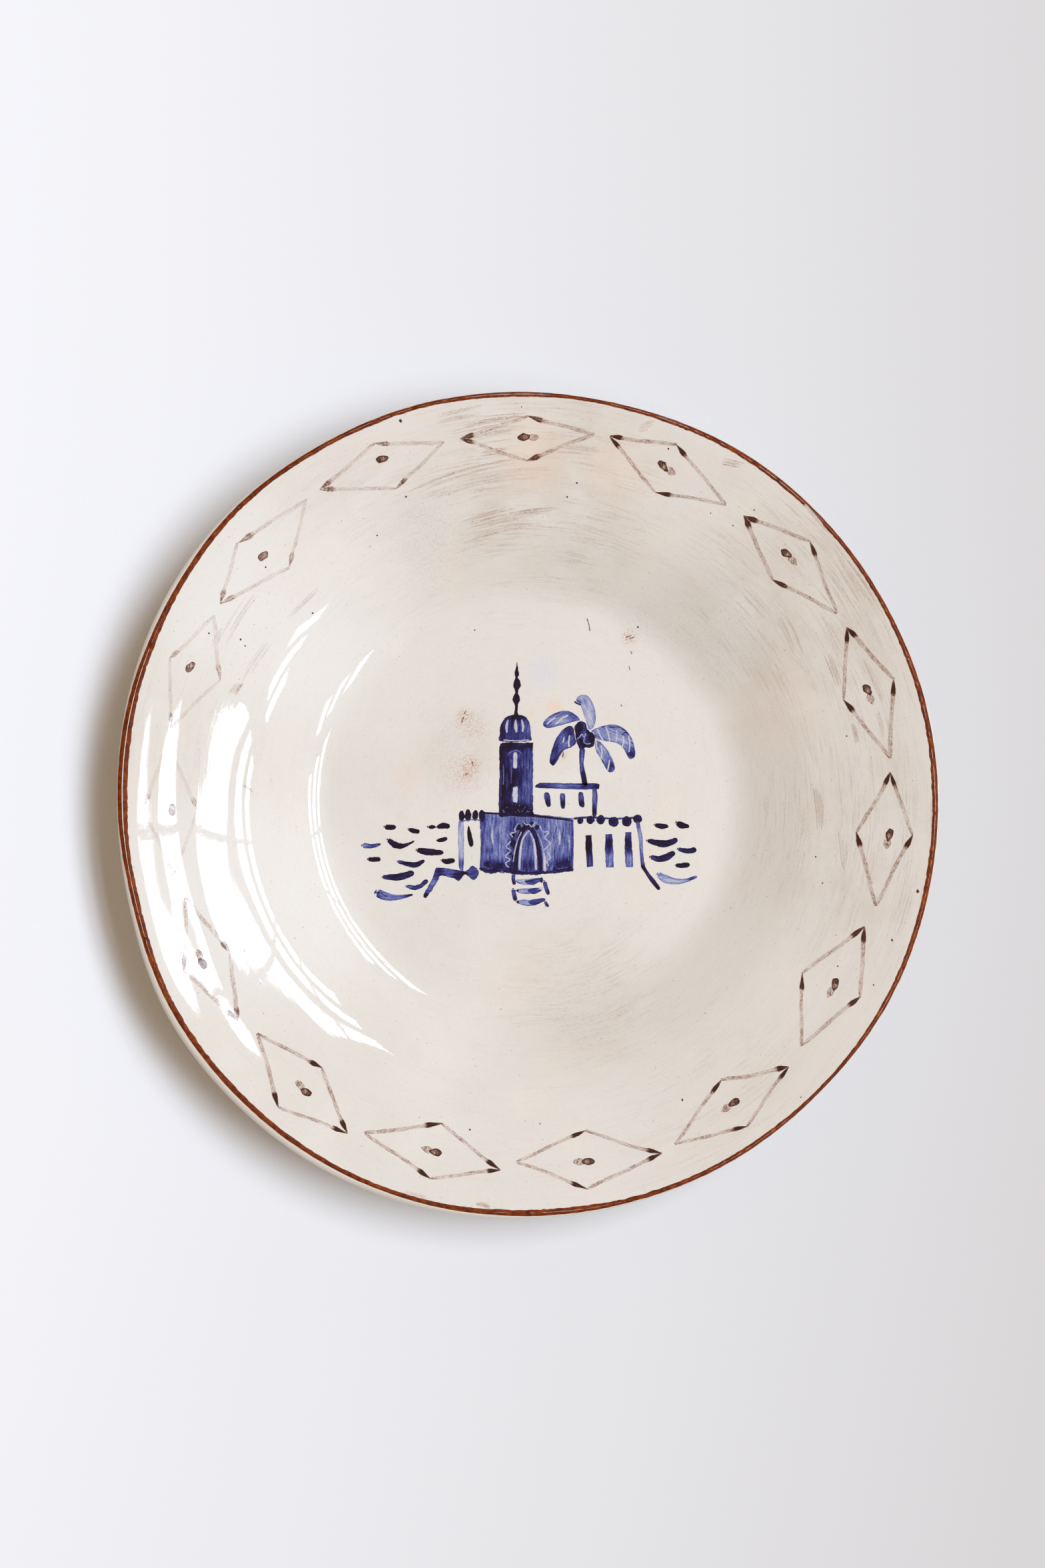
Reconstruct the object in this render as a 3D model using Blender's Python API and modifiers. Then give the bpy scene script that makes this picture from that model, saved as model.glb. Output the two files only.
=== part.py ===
"""Hand-painted earthenware plate: red clay body, foot ring, white coats and painted motifs.

Metres, +Z up, standing on Z = 0 with its centre on the origin.
The motifs are painted films: 15 brown diamonds with dots round the flange and a blue
waterside town on the floor of the plate.
"""

import math

import bmesh
import bpy

MM = 0.001

# Overall sizes
PLATE_R = 131.5 * MM
PLATE_H = 29.0 * MM
FLOOR_Z = 8.0 * MM

# Clay and coats
WALL = 5.0 * MM
COAT_T = 0.5 * MM
FILM_T = 0.2 * MM
GAP = 0.3 * MM

# Foot ring, tongued into a shallow groove under the body
FOOT_R = 0.502 * PLATE_R
FOOT_W = 8.0 * MM
FOOT_EDGE = 1.0 * MM
RECESS_Z = 3.2 * MM
TONGUE_H = 1.0 * MM
TONGUE_INSET = 1.8 * MM

# Face curve as shares of the plate radius and of the rise from floor to lip
BEND_AT = 0.532
BEND_SOFTNESS = 0.0342
FLANGE_SHARE = 0.0658
SWELL_AT = 0.608
SWELL_WIDTH = 0.0837
SWELL_SHARE = 0.0652
RINGS = (0.40, 0.46, 0.50, 0.54, 0.58, 0.63, 0.70, 0.79, 0.88, 0.95)
LIP_INNER = 2.3 * MM

# Wall thickness under the flange: share of the plate radius, share of WALL
BACK = ((0.973, 0.70), (0.91, 0.86), (0.80, 1.04), (0.70, 1.06), (0.62, 1.02), (0.56, 0.95))
BACK_FOOT = 0.505

# Lip, as distances in from the plate radius and down from the plate height
LIP_BEAD = ((2.0, 0.85), (2.0, 0.05), (1.5, 0.0), (1.05, 0.12), (1.15, 0.9))
LIP_CLAY = ((0.95, 1.4), (0.8, 2.0), (1.0, 2.8), (1.7, 3.9))
LIP_COAT_OUT = ((0.74, 0.22), (0.42, 0.55), (0.15, 1.1), (0.0, 1.9), (0.26, 3.12), (1.14, 4.51))
LIP_COAT_IN = ((1.49, 4.13), (0.72, 2.92), (0.5, 2.0), (0.66, 1.31), (0.8, 0.9))

TURN_STEPS = 96
FLAT_FILM_Z = FLOOR_Z + GAP

# Brown diamonds: left, outer, right and inner corner, then the dot, each as
# azimuth in degrees and radius in millimetres on a plate of the size below
DRAWN_R = 131.5
STROKE_W = 1.5
DOT_LONG = 1.5
DOT_SHORT = 1.1
DOT_POINTS = 8
DIAMONDS = (
    ((7.2, 116.5), (18.8, 123.0), (29.0, 116.4), (18.3, 106.4), (18.7, 114.4)),
    ((31.7, 116.0), (43.0, 122.8), (53.2, 115.0), (42.6, 106.3), (44.2, 114.9)),
    ((56.5, 114.8), (67.5, 123.7), (77.4, 120.0), (67.8, 107.8), (68.3, 116.3)),
    ((79.8, 119.8), (90.0, 123.5), (100.5, 118.5), (90.3, 109.7), (90.7, 117.0)),
    ((103.0, 118.5), (113.0, 124.7), (123.5, 120.0), (112.7, 109.3), (113.0, 119.4)),
    ((126.0, 120.0), (138.0, 124.2), (147.0, 117.0), (135.3, 107.5), (137.0, 115.8)),
    ((149.0, 116.8), (158.0, 123.0), (168.0, 116.5), (158.0, 106.3), (158.0, 116.3)),
    ((170.5, 116.5), (180.5, 122.5), (191.5, 115.3), (181.0, 105.5), (181.0, 113.6)),
    ((195.3, 113.3), (206.0, 121.8), (216.8, 115.6), (206.5, 106.5), (206.2, 115.6)),
    ((220.3, 113.2), (230.5, 124.8), (241.3, 119.6), (232.0, 107.0), (232.5, 115.9)),
    ((243.6, 117.2), (255.5, 123.1), (265.7, 117.0), (255.0, 105.9), (255.3, 115.0)),
    ((268.2, 114.3), (278.8, 123.9), (291.0, 119.3), (280.0, 106.1), (279.7, 115.7)),
    ((293.4, 118.2), (304.2, 124.0), (314.8, 117.9), (305.0, 107.8), (304.8, 115.8)),
    ((318.5, 116.5), (330.0, 122.2), (340.0, 114.5), (328.3, 103.3), (329.8, 113.7)),
    ((343.7, 115.8), (355.5, 122.8), (365.0, 116.2), (355.2, 105.7), (355.3, 115.9)),
)

# Blue motifs on the floor: outlines in millimetres, right and up from the plate centre
FINIAL = (
    (-3.6, 46.4), (-3.1, 43.5), (-3.2, 40.4), (-2.4, 39.4), (-2.9, 37.0), (-3.4, 36.0),
    (-2.5, 35.1), (-2.6, 33.3), (-3.4, 32.2), (-3.2, 29.3), (-4.5, 29.3), (-4.3, 32.2),
    (-5.0, 33.4), (-4.9, 35.0), (-4.2, 36.2), (-4.8, 38.6), (-4.1, 40.4), (-4.3, 42.8),
)
DOME = (
    (-8.4, 20.5), (0.4, 20.5), (0.9, 24.0), (0.4, 27.0), (-1.6, 28.2), (-3.4, 28.9),
    (-5.0, 28.9), (-6.8, 28.4), (-8.4, 26.4), (-9.1, 23.0),
)
TOWER = (
    (-9.5, -2.5), (2.0, -3.3), (1.8, 8.0), (1.6, 14.0), (2.0, 19.2), (0.4, 19.9),
    (-8.4, 19.9), (-9.5, 19.0), (-9.6, 14.0), (-9.1, 8.0),
)
GATEHOUSE = (
    (-15.6, -3.0), (-15.2, -12.0), (-15.7, -21.6), (-11.0, -22.8), (-7.0, -22.0),
    (-3.6, -23.0), (2.0, -23.3), (8.0, -23.0), (14.7, -21.9), (14.8, -5.6),
    (9.0, -4.5), (2.0, -3.9), (-9.4, -3.0),
)
GATE_ARCH = (
    (0.2, -8.2), (-1.9, -11.0), (-2.9, -15.0), (-3.2, -21.5), (3.1, -21.5), (3.1, -15.0),
    (2.3, -11.0),
)
GATE_DOOR = (
    (0.2, -9.6), (-1.3, -12.0), (-2.1, -15.5), (-2.4, -21.0), (2.3, -21.0), (2.3, -15.5),
    (1.5, -12.0),
)
LEFT_POST = ((-22.6, -6.0), (-22.6, -18.0), (-22.3, -21.2), (-21.0, -21.2), (-21.0, -6.0))
LEFT_SLIT = ((-19.2, -7.3), (-19.8, -9.5), (-19.3, -13.2), (-18.3, -14.2), (-17.8, -12.6))
SHORE = (
    (-34.0, -29.8), (-33.3, -30.9), (-32.6, -30.2), (-29.3, -25.2), (-28.5, -23.6),
    (-24.3, -24.4), (-22.4, -25.4), (-20.4, -23.2), (-17.7, -25.0), (-16.2, -23.4),
    (-16.1, -22.0), (-17.2, -20.8), (-18.3, -20.4), (-20.4, -22.0), (-24.6, -21.5),
    (-28.8, -20.9), (-30.1, -21.3), (-31.2, -24.6),
)
HOUSE_ROOF = (
    (2.4, 5.6), (3.4, 5.1), (9.0, 4.9), (18.3, 4.6), (21.1, 4.7), (20.9, 1.0),
    (21.1, -3.6), (22.6, -3.6), (22.9, 1.0), (22.7, 4.8), (23.4, 5.5), (22.7, 6.6),
    (15.0, 6.6), (5.0, 6.8), (3.4, 6.5),
)
HOUSE_WINDOWS = (
    ((5.3, 2.8), (6.1, -0.6), (7.0, -1.1), (7.6, -0.3), (7.1, 3.1), (6.2, 3.7)),
    ((10.6, 2.9), (10.9, -1.1), (11.5, -1.6), (12.2, -1.2), (12.2, 2.8), (11.4, 3.3)),
    ((16.6, 3.3), (16.8, -0.3), (17.8, -1.2), (18.6, -0.7), (18.1, 3.1), (17.3, 3.8)),
)
BATTLEMENT_TOP = -4.4
BATTLEMENT_LINE = 0.8
BATTLEMENT_LEFT = 15.2
MERLONS = ((17.2, 1.2, -6.7), (20.5, 1.2, -6.7), (24.0, 1.4, -7.0), (28.1, 1.5, -7.8),
           (32.4, 1.5, -7.6))
RIGHT_POST = (
    (35.0, -5.2), (35.1, -6.5), (35.9, -6.8), (36.8, -12.0), (36.9, -17.0), (37.2, -20.8),
    (40.2, -24.6), (42.8, -27.9), (43.3, -27.0), (40.0, -22.4), (38.4, -20.5),
    (38.1, -17.0), (38.0, -12.0), (37.0, -6.7), (37.3, -5.2), (36.6, -3.6), (35.6, -3.6),
)
WALL_WINDOWS = (
    ((18.5, -10.6), (19.2, -15.0), (19.5, -20.6), (21.8, -20.4), (21.3, -16.5),
     (21.0, -12.5), (20.1, -10.0)),
    ((24.9, -10.6), (25.2, -15.0), (25.8, -20.8), (27.9, -20.8), (28.1, -19.0),
     (27.5, -12.0), (26.1, -9.7)),
    ((31.7, -9.8), (31.4, -15.0), (32.5, -21.0), (34.4, -20.8), (33.9, -15.0),
     (33.6, -10.4), (32.6, -8.9)),
)
PALM_TRUNK = (
    (17.0, 17.7), (17.0, 12.0), (17.3, 9.4), (18.0, 6.9), (19.5, 6.9), (18.9, 10.0),
    (18.3, 13.0), (18.7, 17.7),
)
PALM_CROWN = (
    (15.3, 25.0), (15.8, 22.0), (16.3, 19.5), (17.3, 18.1), (18.9, 18.5), (20.5, 18.3),
    (21.7, 19.2), (22.0, 21.6), (21.2, 23.1), (19.7, 23.9), (18.9, 26.4), (17.5, 26.9),
    (16.3, 26.5),
)
PALM_FRONDS = (
    ((19.4, 26.1), (20.0, 24.3), (21.5, 25.0), (22.3, 28.0), (21.6, 32.0), (19.6, 35.2),
     (17.2, 35.4), (15.8, 33.8), (17.2, 32.4), (18.2, 29.6)),
    ((5.0, 26.2), (6.4, 24.7), (10.5, 25.5), (13.6, 26.4), (16.1, 27.0), (17.0, 27.5),
     (15.2, 29.4), (12.8, 30.3), (9.8, 29.9), (7.0, 28.5)),
    ((13.6, 25.4), (11.4, 24.0), (9.4, 21.4), (8.0, 17.8), (7.2, 14.0), (8.2, 12.4),
     (9.6, 13.8), (11.6, 17.2), (14.2, 18.4), (15.8, 19.8), (15.4, 22.0), (14.9, 24.7)),
    ((20.8, 23.8), (21.7, 23.1), (22.4, 21.2), (25.4, 20.5), (28.4, 20.0), (31.0, 18.5),
     (33.0, 15.0), (34.2, 14.7), (35.2, 16.0), (34.6, 19.6), (33.4, 22.4), (31.4, 24.6),
     (28.8, 25.7), (26.0, 25.7), (23.4, 25.0)),
    ((22.3, 20.6), (22.1, 18.9), (22.4, 17.2), (24.0, 14.4), (25.2, 12.2), (26.4, 10.4),
     (27.6, 10.3), (28.5, 11.2), (28.2, 13.2), (27.0, 16.0), (25.4, 18.4), (23.6, 20.2)),
)
FROND_NAMES = ("top", "left", "lower_left", "right", "lower_right")

# Colour, roughness
CLAY = ((0.30, 0.095, 0.035), 0.85)
BARE_FOOT = ((0.34, 0.12, 0.05), 0.9)
GLAZE = ((0.80, 0.76, 0.69), 0.15)
BACK_GLAZE = ((0.76, 0.71, 0.63), 0.2)
BROWN = ((0.13, 0.05, 0.03), 0.2)
DARK_BLUE = ((0.02, 0.012, 0.11), 0.18)
MID_BLUE = ((0.06, 0.055, 0.28), 0.18)
PALE_BLUE = ((0.28, 0.30, 0.55), 0.18)


def clear_scene():
    """Take away everything the file opened with."""
    for item in list(bpy.data.objects):
        bpy.data.objects.remove(item, do_unlink=True)


def add_collection(name):
    """Return a new collection linked into the scene."""
    group = bpy.data.collections.new(name)
    bpy.context.scene.collection.children.link(group)
    return group


def paint(part, finish):
    """Give a part its own non-metallic material."""
    colour, roughness = finish
    material = bpy.data.materials.new(part.name + "_finish")
    material.use_nodes = True
    shader = material.node_tree.nodes["Principled BSDF"]
    shader.inputs["Base Color"].default_value = (*colour, 1.0)
    shader.inputs["Roughness"].default_value = roughness
    shader.inputs["Metallic"].default_value = 0.0
    part.data.materials.append(material)


def face_height(radius):
    """Height of the eating surface: level floor, soft bend, then a straight flange."""
    share = radius / PLATE_R
    bend = math.log1p(math.exp((share - BEND_AT) / BEND_SOFTNESS))
    swell = 1.0 + math.erf((share - SWELL_AT) / SWELL_WIDTH)
    rise = FLANGE_SHARE * bend + SWELL_SHARE * swell
    return FLOOR_Z + (PLATE_H - FLOOR_Z) * rise


def face_line(drop, shares=RINGS):
    """Points outward along the face, lowered by drop."""
    return [(PLATE_R * u, face_height(PLATE_R * u) - drop) for u in shares]


def back_line(drop):
    """Points inward along the clay's underside, lowered by drop."""
    clay_top = COAT_T + GAP
    points = []
    for share, thickness in BACK:
        radius = PLATE_R * share
        points.append((radius, face_height(radius) - clay_top - WALL * thickness - drop))
    return points


def lip_points(offsets):
    """Points placed from the outermost radius and the top of the lip."""
    return [(PLATE_R - inward * MM, PLATE_H - down * MM) for inward, down in offsets]


def turned(name, profile, closed, group):
    """Turn a profile about Z with the Screw modifier."""
    mesh = bpy.data.meshes.new(name)
    edges = [(i, i + 1) for i in range(len(profile) - 1)]
    if closed:
        edges.append((len(profile) - 1, 0))
    mesh.from_pydata([(x, 0.0, z) for x, z in profile], edges, [])
    part = bpy.data.objects.new(name, mesh)
    group.objects.link(part)
    screw = part.modifiers.new("turn", "SCREW")
    screw.axis = "Z"
    screw.angle = math.tau
    screw.steps = TURN_STEPS
    screw.render_steps = TURN_STEPS
    screw.use_merge_vertices = True
    screw.merge_threshold = 0.00001
    screw.use_smooth_shade = True
    return part


def build_body(group):
    """Red clay: dished wall, lip left bare, and a groove for the foot ring."""
    clay_top = COAT_T + GAP
    tongue_out = FOOT_R - TONGUE_INSET + GAP
    tongue_in = FOOT_R - FOOT_W + TONGUE_INSET - GAP
    groove_top = RECESS_Z + TONGUE_H + GAP
    profile = [(0.0, FLOOR_Z - clay_top)]
    profile += face_line(clay_top)
    profile += lip_points(LIP_BEAD + LIP_CLAY)
    profile += back_line(0.0)
    profile += [
        (PLATE_R * BACK_FOOT, RECESS_Z),
        (tongue_out, RECESS_Z),
        (tongue_out, groove_top),
        (tongue_in, groove_top),
        (tongue_in, RECESS_Z),
        (0.0, RECESS_Z),
    ]
    paint(turned("body", profile, False, group), CLAY)


def build_foot_ring(group):
    """Clay foot ring with a tongue that sits in the groove under the body."""
    inner = FOOT_R - FOOT_W
    shoulder = RECESS_Z - GAP
    tongue_out = FOOT_R - TONGUE_INSET
    tongue_in = inner + TONGUE_INSET
    profile = [
        (tongue_out, RECESS_Z + TONGUE_H),
        (tongue_out, shoulder),
        (FOOT_R, shoulder),
        (FOOT_R, FOOT_EDGE),
        (FOOT_R - FOOT_EDGE, 0.0),
        (inner + FOOT_EDGE, 0.0),
        (inner, FOOT_EDGE),
        (inner, shoulder),
        (tongue_in, shoulder),
        (tongue_in, RECESS_Z + TONGUE_H),
    ]
    paint(turned("foot_ring", profile, True, group), BARE_FOOT)


def build_face_coat(group):
    """White slip under clear glaze over the whole face, stopping short of the lip."""
    edge = PLATE_R - LIP_INNER
    edge_z = face_height(edge)
    profile = [(0.0, FLOOR_Z)]
    profile += face_line(0.0)
    profile += [(edge, edge_z), (edge, edge_z - COAT_T)]
    profile += list(reversed(face_line(COAT_T)))
    profile.append((0.0, FLOOR_Z - COAT_T))
    paint(turned("face_coat", profile, False, group), GLAZE)


def build_back_coat(group):
    """White coat over the lip's outer side and the underside as far as the foot ring."""
    start = FOOT_R + GAP
    foot_z = RECESS_Z - GAP
    outer = lip_points(LIP_COAT_OUT) + back_line(GAP + COAT_T)
    inner = list(reversed(back_line(GAP))) + lip_points(LIP_COAT_IN)
    profile = outer
    profile += [(start, foot_z - COAT_T), (start, foot_z)]
    profile += inner
    paint(turned("back_coat", profile, True, group), BACK_GLAZE)


def outline_solid(name, loops, bottom, top, group):
    """Upright solid from outlines in metres; a second outline is a hole."""
    curve = bpy.data.curves.new(name + "_outline", "CURVE")
    curve.dimensions = "2D"
    curve.fill_mode = "BOTH"
    curve.extrude = (top - bottom) / 2
    for loop in loops:
        spline = curve.splines.new("POLY")
        spline.points.add(len(loop) - 1)
        spline.use_cyclic_u = True
        for point, (x, y) in zip(spline.points, loop):
            point.co = (x, y, 0.0, 1.0)
    carrier = bpy.data.objects.new(name + "_outline", curve)
    bpy.context.scene.collection.objects.link(carrier)
    graph = bpy.context.evaluated_depsgraph_get()
    mesh = bpy.data.meshes.new_from_object(carrier.evaluated_get(graph))
    bpy.data.objects.remove(carrier, do_unlink=True)
    mesh.name = name
    shape = bmesh.new()
    shape.from_mesh(mesh)
    bmesh.ops.remove_doubles(shape, verts=shape.verts, dist=1e-6)
    bmesh.ops.recalc_face_normals(shape, faces=shape.faces)
    shape.to_mesh(mesh)
    shape.free()
    part = bpy.data.objects.new(name, mesh)
    part.location.z = (bottom + top) / 2
    group.objects.link(part)
    return part


def build_flange_film(cutters):
    """Thin turned shell that the flange painting is cut from."""
    shares = [u for u in RINGS if u > 0.65]
    outer = PLATE_R * 0.965
    low = GAP * 1.05
    high = low + FILM_T
    profile = [(outer, face_height(outer) + high), (outer, face_height(outer) + low)]
    profile += list(reversed(face_line(-low, shares)))
    profile += face_line(-high, shares)
    film = turned("flange_film", profile, True, cutters)
    film.hide_render = True
    film.display_type = "WIRE"
    return film


def on_plate(azimuth, radius):
    """Plan position in millimetres of a point given by azimuth and radius."""
    angle = math.radians(azimuth)
    return radius * math.cos(angle), radius * math.sin(angle)


def inset(corners, width):
    """Corners of a convex outline moved inward by width."""
    count = len(corners)
    area = sum(
        corners[i - 1][0] * corners[i][1] - corners[i][0] * corners[i - 1][1]
        for i in range(count)
    )
    side = 1.0 if area > 0 else -1.0
    moved = []
    for i in range(count):
        (ax, ay), (bx, by), (cx, cy) = corners[i - 1], corners[i], corners[(i + 1) % count]
        first = math.hypot(bx - ax, by - ay)
        second = math.hypot(cx - bx, cy - by)
        nx1, ny1 = -(by - ay) / first * side, (bx - ax) / first * side
        nx2, ny2 = -(cy - by) / second * side, (cx - bx) / second * side
        reach = width / (1.0 + nx1 * nx2 + ny1 * ny2)
        moved.append((bx + (nx1 + nx2) * reach, by + (ny1 + ny2) * reach))
    return moved


def scaled(outline):
    """Outline drawn in millimetres brought to the plate's own size, in metres."""
    factor = PLATE_R / DRAWN_R
    return [(x * factor, y * factor) for x, y in outline]


def flange_paint(name, loops, film, group):
    """Brown film lying on the flange: an upright solid kept only where the shell is."""
    part = outline_solid(name, [scaled(loop) for loop in loops], 0.0, PLATE_H * 1.5, group)
    cut = part.modifiers.new("lie_on_flange", "BOOLEAN")
    cut.operation = "INTERSECT"
    cut.solver = "EXACT"
    cut.object = film
    paint(part, BROWN)


def build_diamonds(film, group):
    """Fifteen hand-drawn diamonds round the flange, each with a dot inside."""
    for number, (left, outer, right, inner, dot) in enumerate(DIAMONDS, start=1):
        corners = [on_plate(*point) for point in (left, outer, right, inner)]
        frame = [corners, inset(corners, STROKE_W)]
        flange_paint(f"diamond_{number:02d}", frame, film, group)
        x, y = on_plate(*dot)
        turn = math.radians(dot[0] + 90.0)
        blob = []
        for step in range(DOT_POINTS):
            angle = math.tau * step / DOT_POINTS
            along = DOT_LONG * math.cos(angle)
            across = DOT_SHORT * math.sin(angle)
            blob.append((
                x + along * math.cos(turn) - across * math.sin(turn),
                y + along * math.sin(turn) + across * math.cos(turn),
            ))
        flange_paint(f"dot_{number:02d}", [blob], film, group)


def floor_paint(name, loops, finish, group):
    """Blue film lying on the level floor."""
    top = FLAT_FILM_Z + FILM_T
    part = outline_solid(name, [scaled(loop) for loop in loops], FLAT_FILM_Z, top, group)
    paint(part, finish)


def build_minaret(group):
    """Domed tower with a beaded finial."""
    floor_paint("minaret_finial", [FINIAL], DARK_BLUE, group)
    floor_paint("minaret_dome", [DOME], DARK_BLUE, group)
    floor_paint("minaret_tower", [TOWER], DARK_BLUE, group)


def build_gatehouse(group):
    """Washed gatehouse with a bare line left round its arched door."""
    floor_paint("gatehouse", [GATEHOUSE, GATE_ARCH], MID_BLUE, group)
    floor_paint("gate_door", [GATE_DOOR], DARK_BLUE, group)


def build_left_bank(group):
    """Low wall, slit window and shore line to the left of the gate."""
    floor_paint("left_wall_post", [LEFT_POST], PALE_BLUE, group)
    floor_paint("left_wall_slit", [LEFT_SLIT], DARK_BLUE, group)
    floor_paint("shore_line", [SHORE], MID_BLUE, group)


def build_house(group):
    """House behind the right wall: roof line with its corner post, and three windows."""
    floor_paint("house_roof_line", [HOUSE_ROOF], MID_BLUE, group)
    for number, outline in enumerate(HOUSE_WINDOWS, start=1):
        floor_paint(f"house_window_{number}", [outline], DARK_BLUE, group)


def build_right_wall(group):
    """Battlement line with its hanging merlons, corner post and three windows."""
    right = RIGHT_POST[0][0] - GAP / MM
    low = BATTLEMENT_TOP - BATTLEMENT_LINE
    battlement = [(right, BATTLEMENT_TOP), (BATTLEMENT_LEFT, BATTLEMENT_TOP)]
    battlement.append((BATTLEMENT_LEFT, low))
    for centre, half, bottom in MERLONS:
        shoulder = (low + bottom) / 2
        battlement += [
            (centre - half, low),
            (centre - half * 0.9, shoulder),
            (centre - half * 0.4, bottom),
            (centre + half * 0.4, bottom),
            (centre + half * 0.9, shoulder),
            (centre + half, low),
        ]
    battlement.append((right, low))
    floor_paint("right_battlement", [battlement], DARK_BLUE, group)
    floor_paint("right_wall_post", [RIGHT_POST], PALE_BLUE, group)
    for number, outline in enumerate(WALL_WINDOWS, start=1):
        floor_paint(f"right_window_{number}", [outline], DARK_BLUE, group)


def build_palm(group):
    """Palm tree behind the house."""
    floor_paint("palm_trunk", [PALM_TRUNK], MID_BLUE, group)
    floor_paint("palm_crown", [PALM_CROWN], DARK_BLUE, group)
    for word, outline in zip(FROND_NAMES, PALM_FRONDS):
        finish = PALE_BLUE if word in ("top", "right") else MID_BLUE
        floor_paint(f"palm_frond_{word}", [outline], finish, group)


def build_plate():
    """Build every piece of the plate."""
    clear_scene()
    plate = add_collection("painted_plate")
    cutters = add_collection("cutters")
    build_body(plate)
    build_foot_ring(plate)
    build_face_coat(plate)
    build_back_coat(plate)
    build_diamonds(build_flange_film(cutters), plate)
    build_minaret(plate)
    build_gatehouse(plate)
    build_left_bank(plate)
    build_house(plate)
    build_right_wall(plate)
    build_palm(plate)


build_plate()
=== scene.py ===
"""Hand-painted earthenware plate, seen from above on a pale table.

Lengths in this file are millimetres on the plate, right and up from its centre, and are
brought to metres when a mesh is made.
"""

import math

import bpy
import numpy as np
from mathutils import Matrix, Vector
from mathutils.geometry import delaunay_2d_cdt


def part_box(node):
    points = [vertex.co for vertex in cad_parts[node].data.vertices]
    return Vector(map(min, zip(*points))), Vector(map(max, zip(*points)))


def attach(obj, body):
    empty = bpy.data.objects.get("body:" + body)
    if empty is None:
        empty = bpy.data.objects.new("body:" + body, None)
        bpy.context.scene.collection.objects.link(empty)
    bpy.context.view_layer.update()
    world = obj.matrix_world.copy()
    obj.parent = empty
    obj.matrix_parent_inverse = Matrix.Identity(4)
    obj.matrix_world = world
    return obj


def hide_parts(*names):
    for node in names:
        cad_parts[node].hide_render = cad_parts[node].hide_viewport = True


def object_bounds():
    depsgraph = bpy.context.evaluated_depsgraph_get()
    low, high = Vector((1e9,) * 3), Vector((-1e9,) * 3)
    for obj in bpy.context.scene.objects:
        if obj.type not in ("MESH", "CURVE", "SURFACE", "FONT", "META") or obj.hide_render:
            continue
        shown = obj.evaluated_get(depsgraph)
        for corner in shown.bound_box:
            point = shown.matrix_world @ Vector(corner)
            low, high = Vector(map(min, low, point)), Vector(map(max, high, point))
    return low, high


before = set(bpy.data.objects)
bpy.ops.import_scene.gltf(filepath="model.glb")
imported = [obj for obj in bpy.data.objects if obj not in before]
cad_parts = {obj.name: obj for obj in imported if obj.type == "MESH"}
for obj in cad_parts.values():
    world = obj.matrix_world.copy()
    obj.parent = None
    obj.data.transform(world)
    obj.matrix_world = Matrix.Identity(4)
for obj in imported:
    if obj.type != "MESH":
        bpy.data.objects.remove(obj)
cad_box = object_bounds()

MM = 0.001
TAU = 2.0 * math.pi

# ---------------------------------------------------------------- form of the plate

COAT_T = 0.5
BACK_COAT_T = 1.6 * COAT_T
PLATE_R = cad_box[1].x / MM
PLATE_H = cad_box[1].z / MM
LIP_R = PLATE_R - 1.9
FLOOR_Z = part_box("face_coat")[0].z / MM + COAT_T
FOOT_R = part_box("foot_ring")[1].x / MM
FOOT_IN = FOOT_R - 8.0
RECESS_Z = 3.2

# Every 15 degrees round the lip, counter-clockwise from the right: radius of the bare
# clay line, its width, and the width of the glazed edge showing outside it
LINE_R = (129.3, 129.4, 129.4, 129.8, 129.95, 129.6, 130.1, 130.8, 130.9, 131.4, 130.3,
          129.6, 128.8, 128.3, 129.8, 130.1, 130.4, 130.4, 129.7, 129.7, 129.7, 129.5,
          129.9, 129.5)
LINE_W = (1.6, 1.45, 1.25, 1.3, 1.6, 1.25, 1.3, 1.25, 1.3, 1.35, 1.5, 2.4,
          2.7, 2.0, 1.75, 1.5, 1.4, 1.35, 1.75, 1.4, 1.3, 1.15, 1.2, 1.45)
EDGE_W = (0.9, 0.9, 0.6, 0.4, 0.3, 0.3, 0.3, 0.4, 0.7, 1.0, 1.8, 1.0,
          0.6, 1.7, 2.3, 2.3, 2.2, 1.7, 1.3, 0.8, 0.6, 0.5, 0.5, 0.8)

# Underside of the clay, as radius and height, from the lip in to the foot ring
UNDER = ((129.4, 24.9), (127.0, 23.6), (119.7, 20.9), (112.0, 18.1), (105.2, 15.6),
         (98.0, 13.1), (91.0, 10.7), (84.0, 7.9), (79.0, 6.0), (73.6, 4.4), (69.5, 3.5),
         (66.4, 3.2))


def around(values, angle):
    """Smooth closed curve through evenly spaced values, at an angle or array of them."""
    count = len(values)
    place = (np.asarray(angle) / TAU * count) % count
    low = np.floor(place).astype(int)
    t = place - low
    table = np.asarray(values, float)
    a, b, c, d = (table[(low + k) % count] for k in (-1, 0, 1, 2))
    return b + 0.5 * t * (c - a + t * (2 * a - 5 * b + 4 * c - d + t * (3 * (b - c) + d - a)))


# Slope of the eating surface in degrees at radii from the level floor to the lip
SLOPE = ((57.0, 0.0), (62.0, 0.5), (64.6, 2.5), (66.6, 8.2), (68.2, 13.8), (69.8, 17.0),
         (71.4, 20.2), (72.8, 23.4), (75.0, 25.2), (84.0, 25.2), (87.6, 24.6), (90.5, 21.0),
         (93.0, 18.4), (96.0, 16.8), (99.0, 16.2), (106.0, 16.0), (108.0, 14.6),
         (110.0, 13.8), (113.0, 15.6), (117.0, 17.2), (121.0, 16.4), (125.0, 16.6),
         (128.0, 14.6), (132.0, 13.5))

PROFILE_R = np.arange(0.0, 140.0, 0.1)


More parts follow.
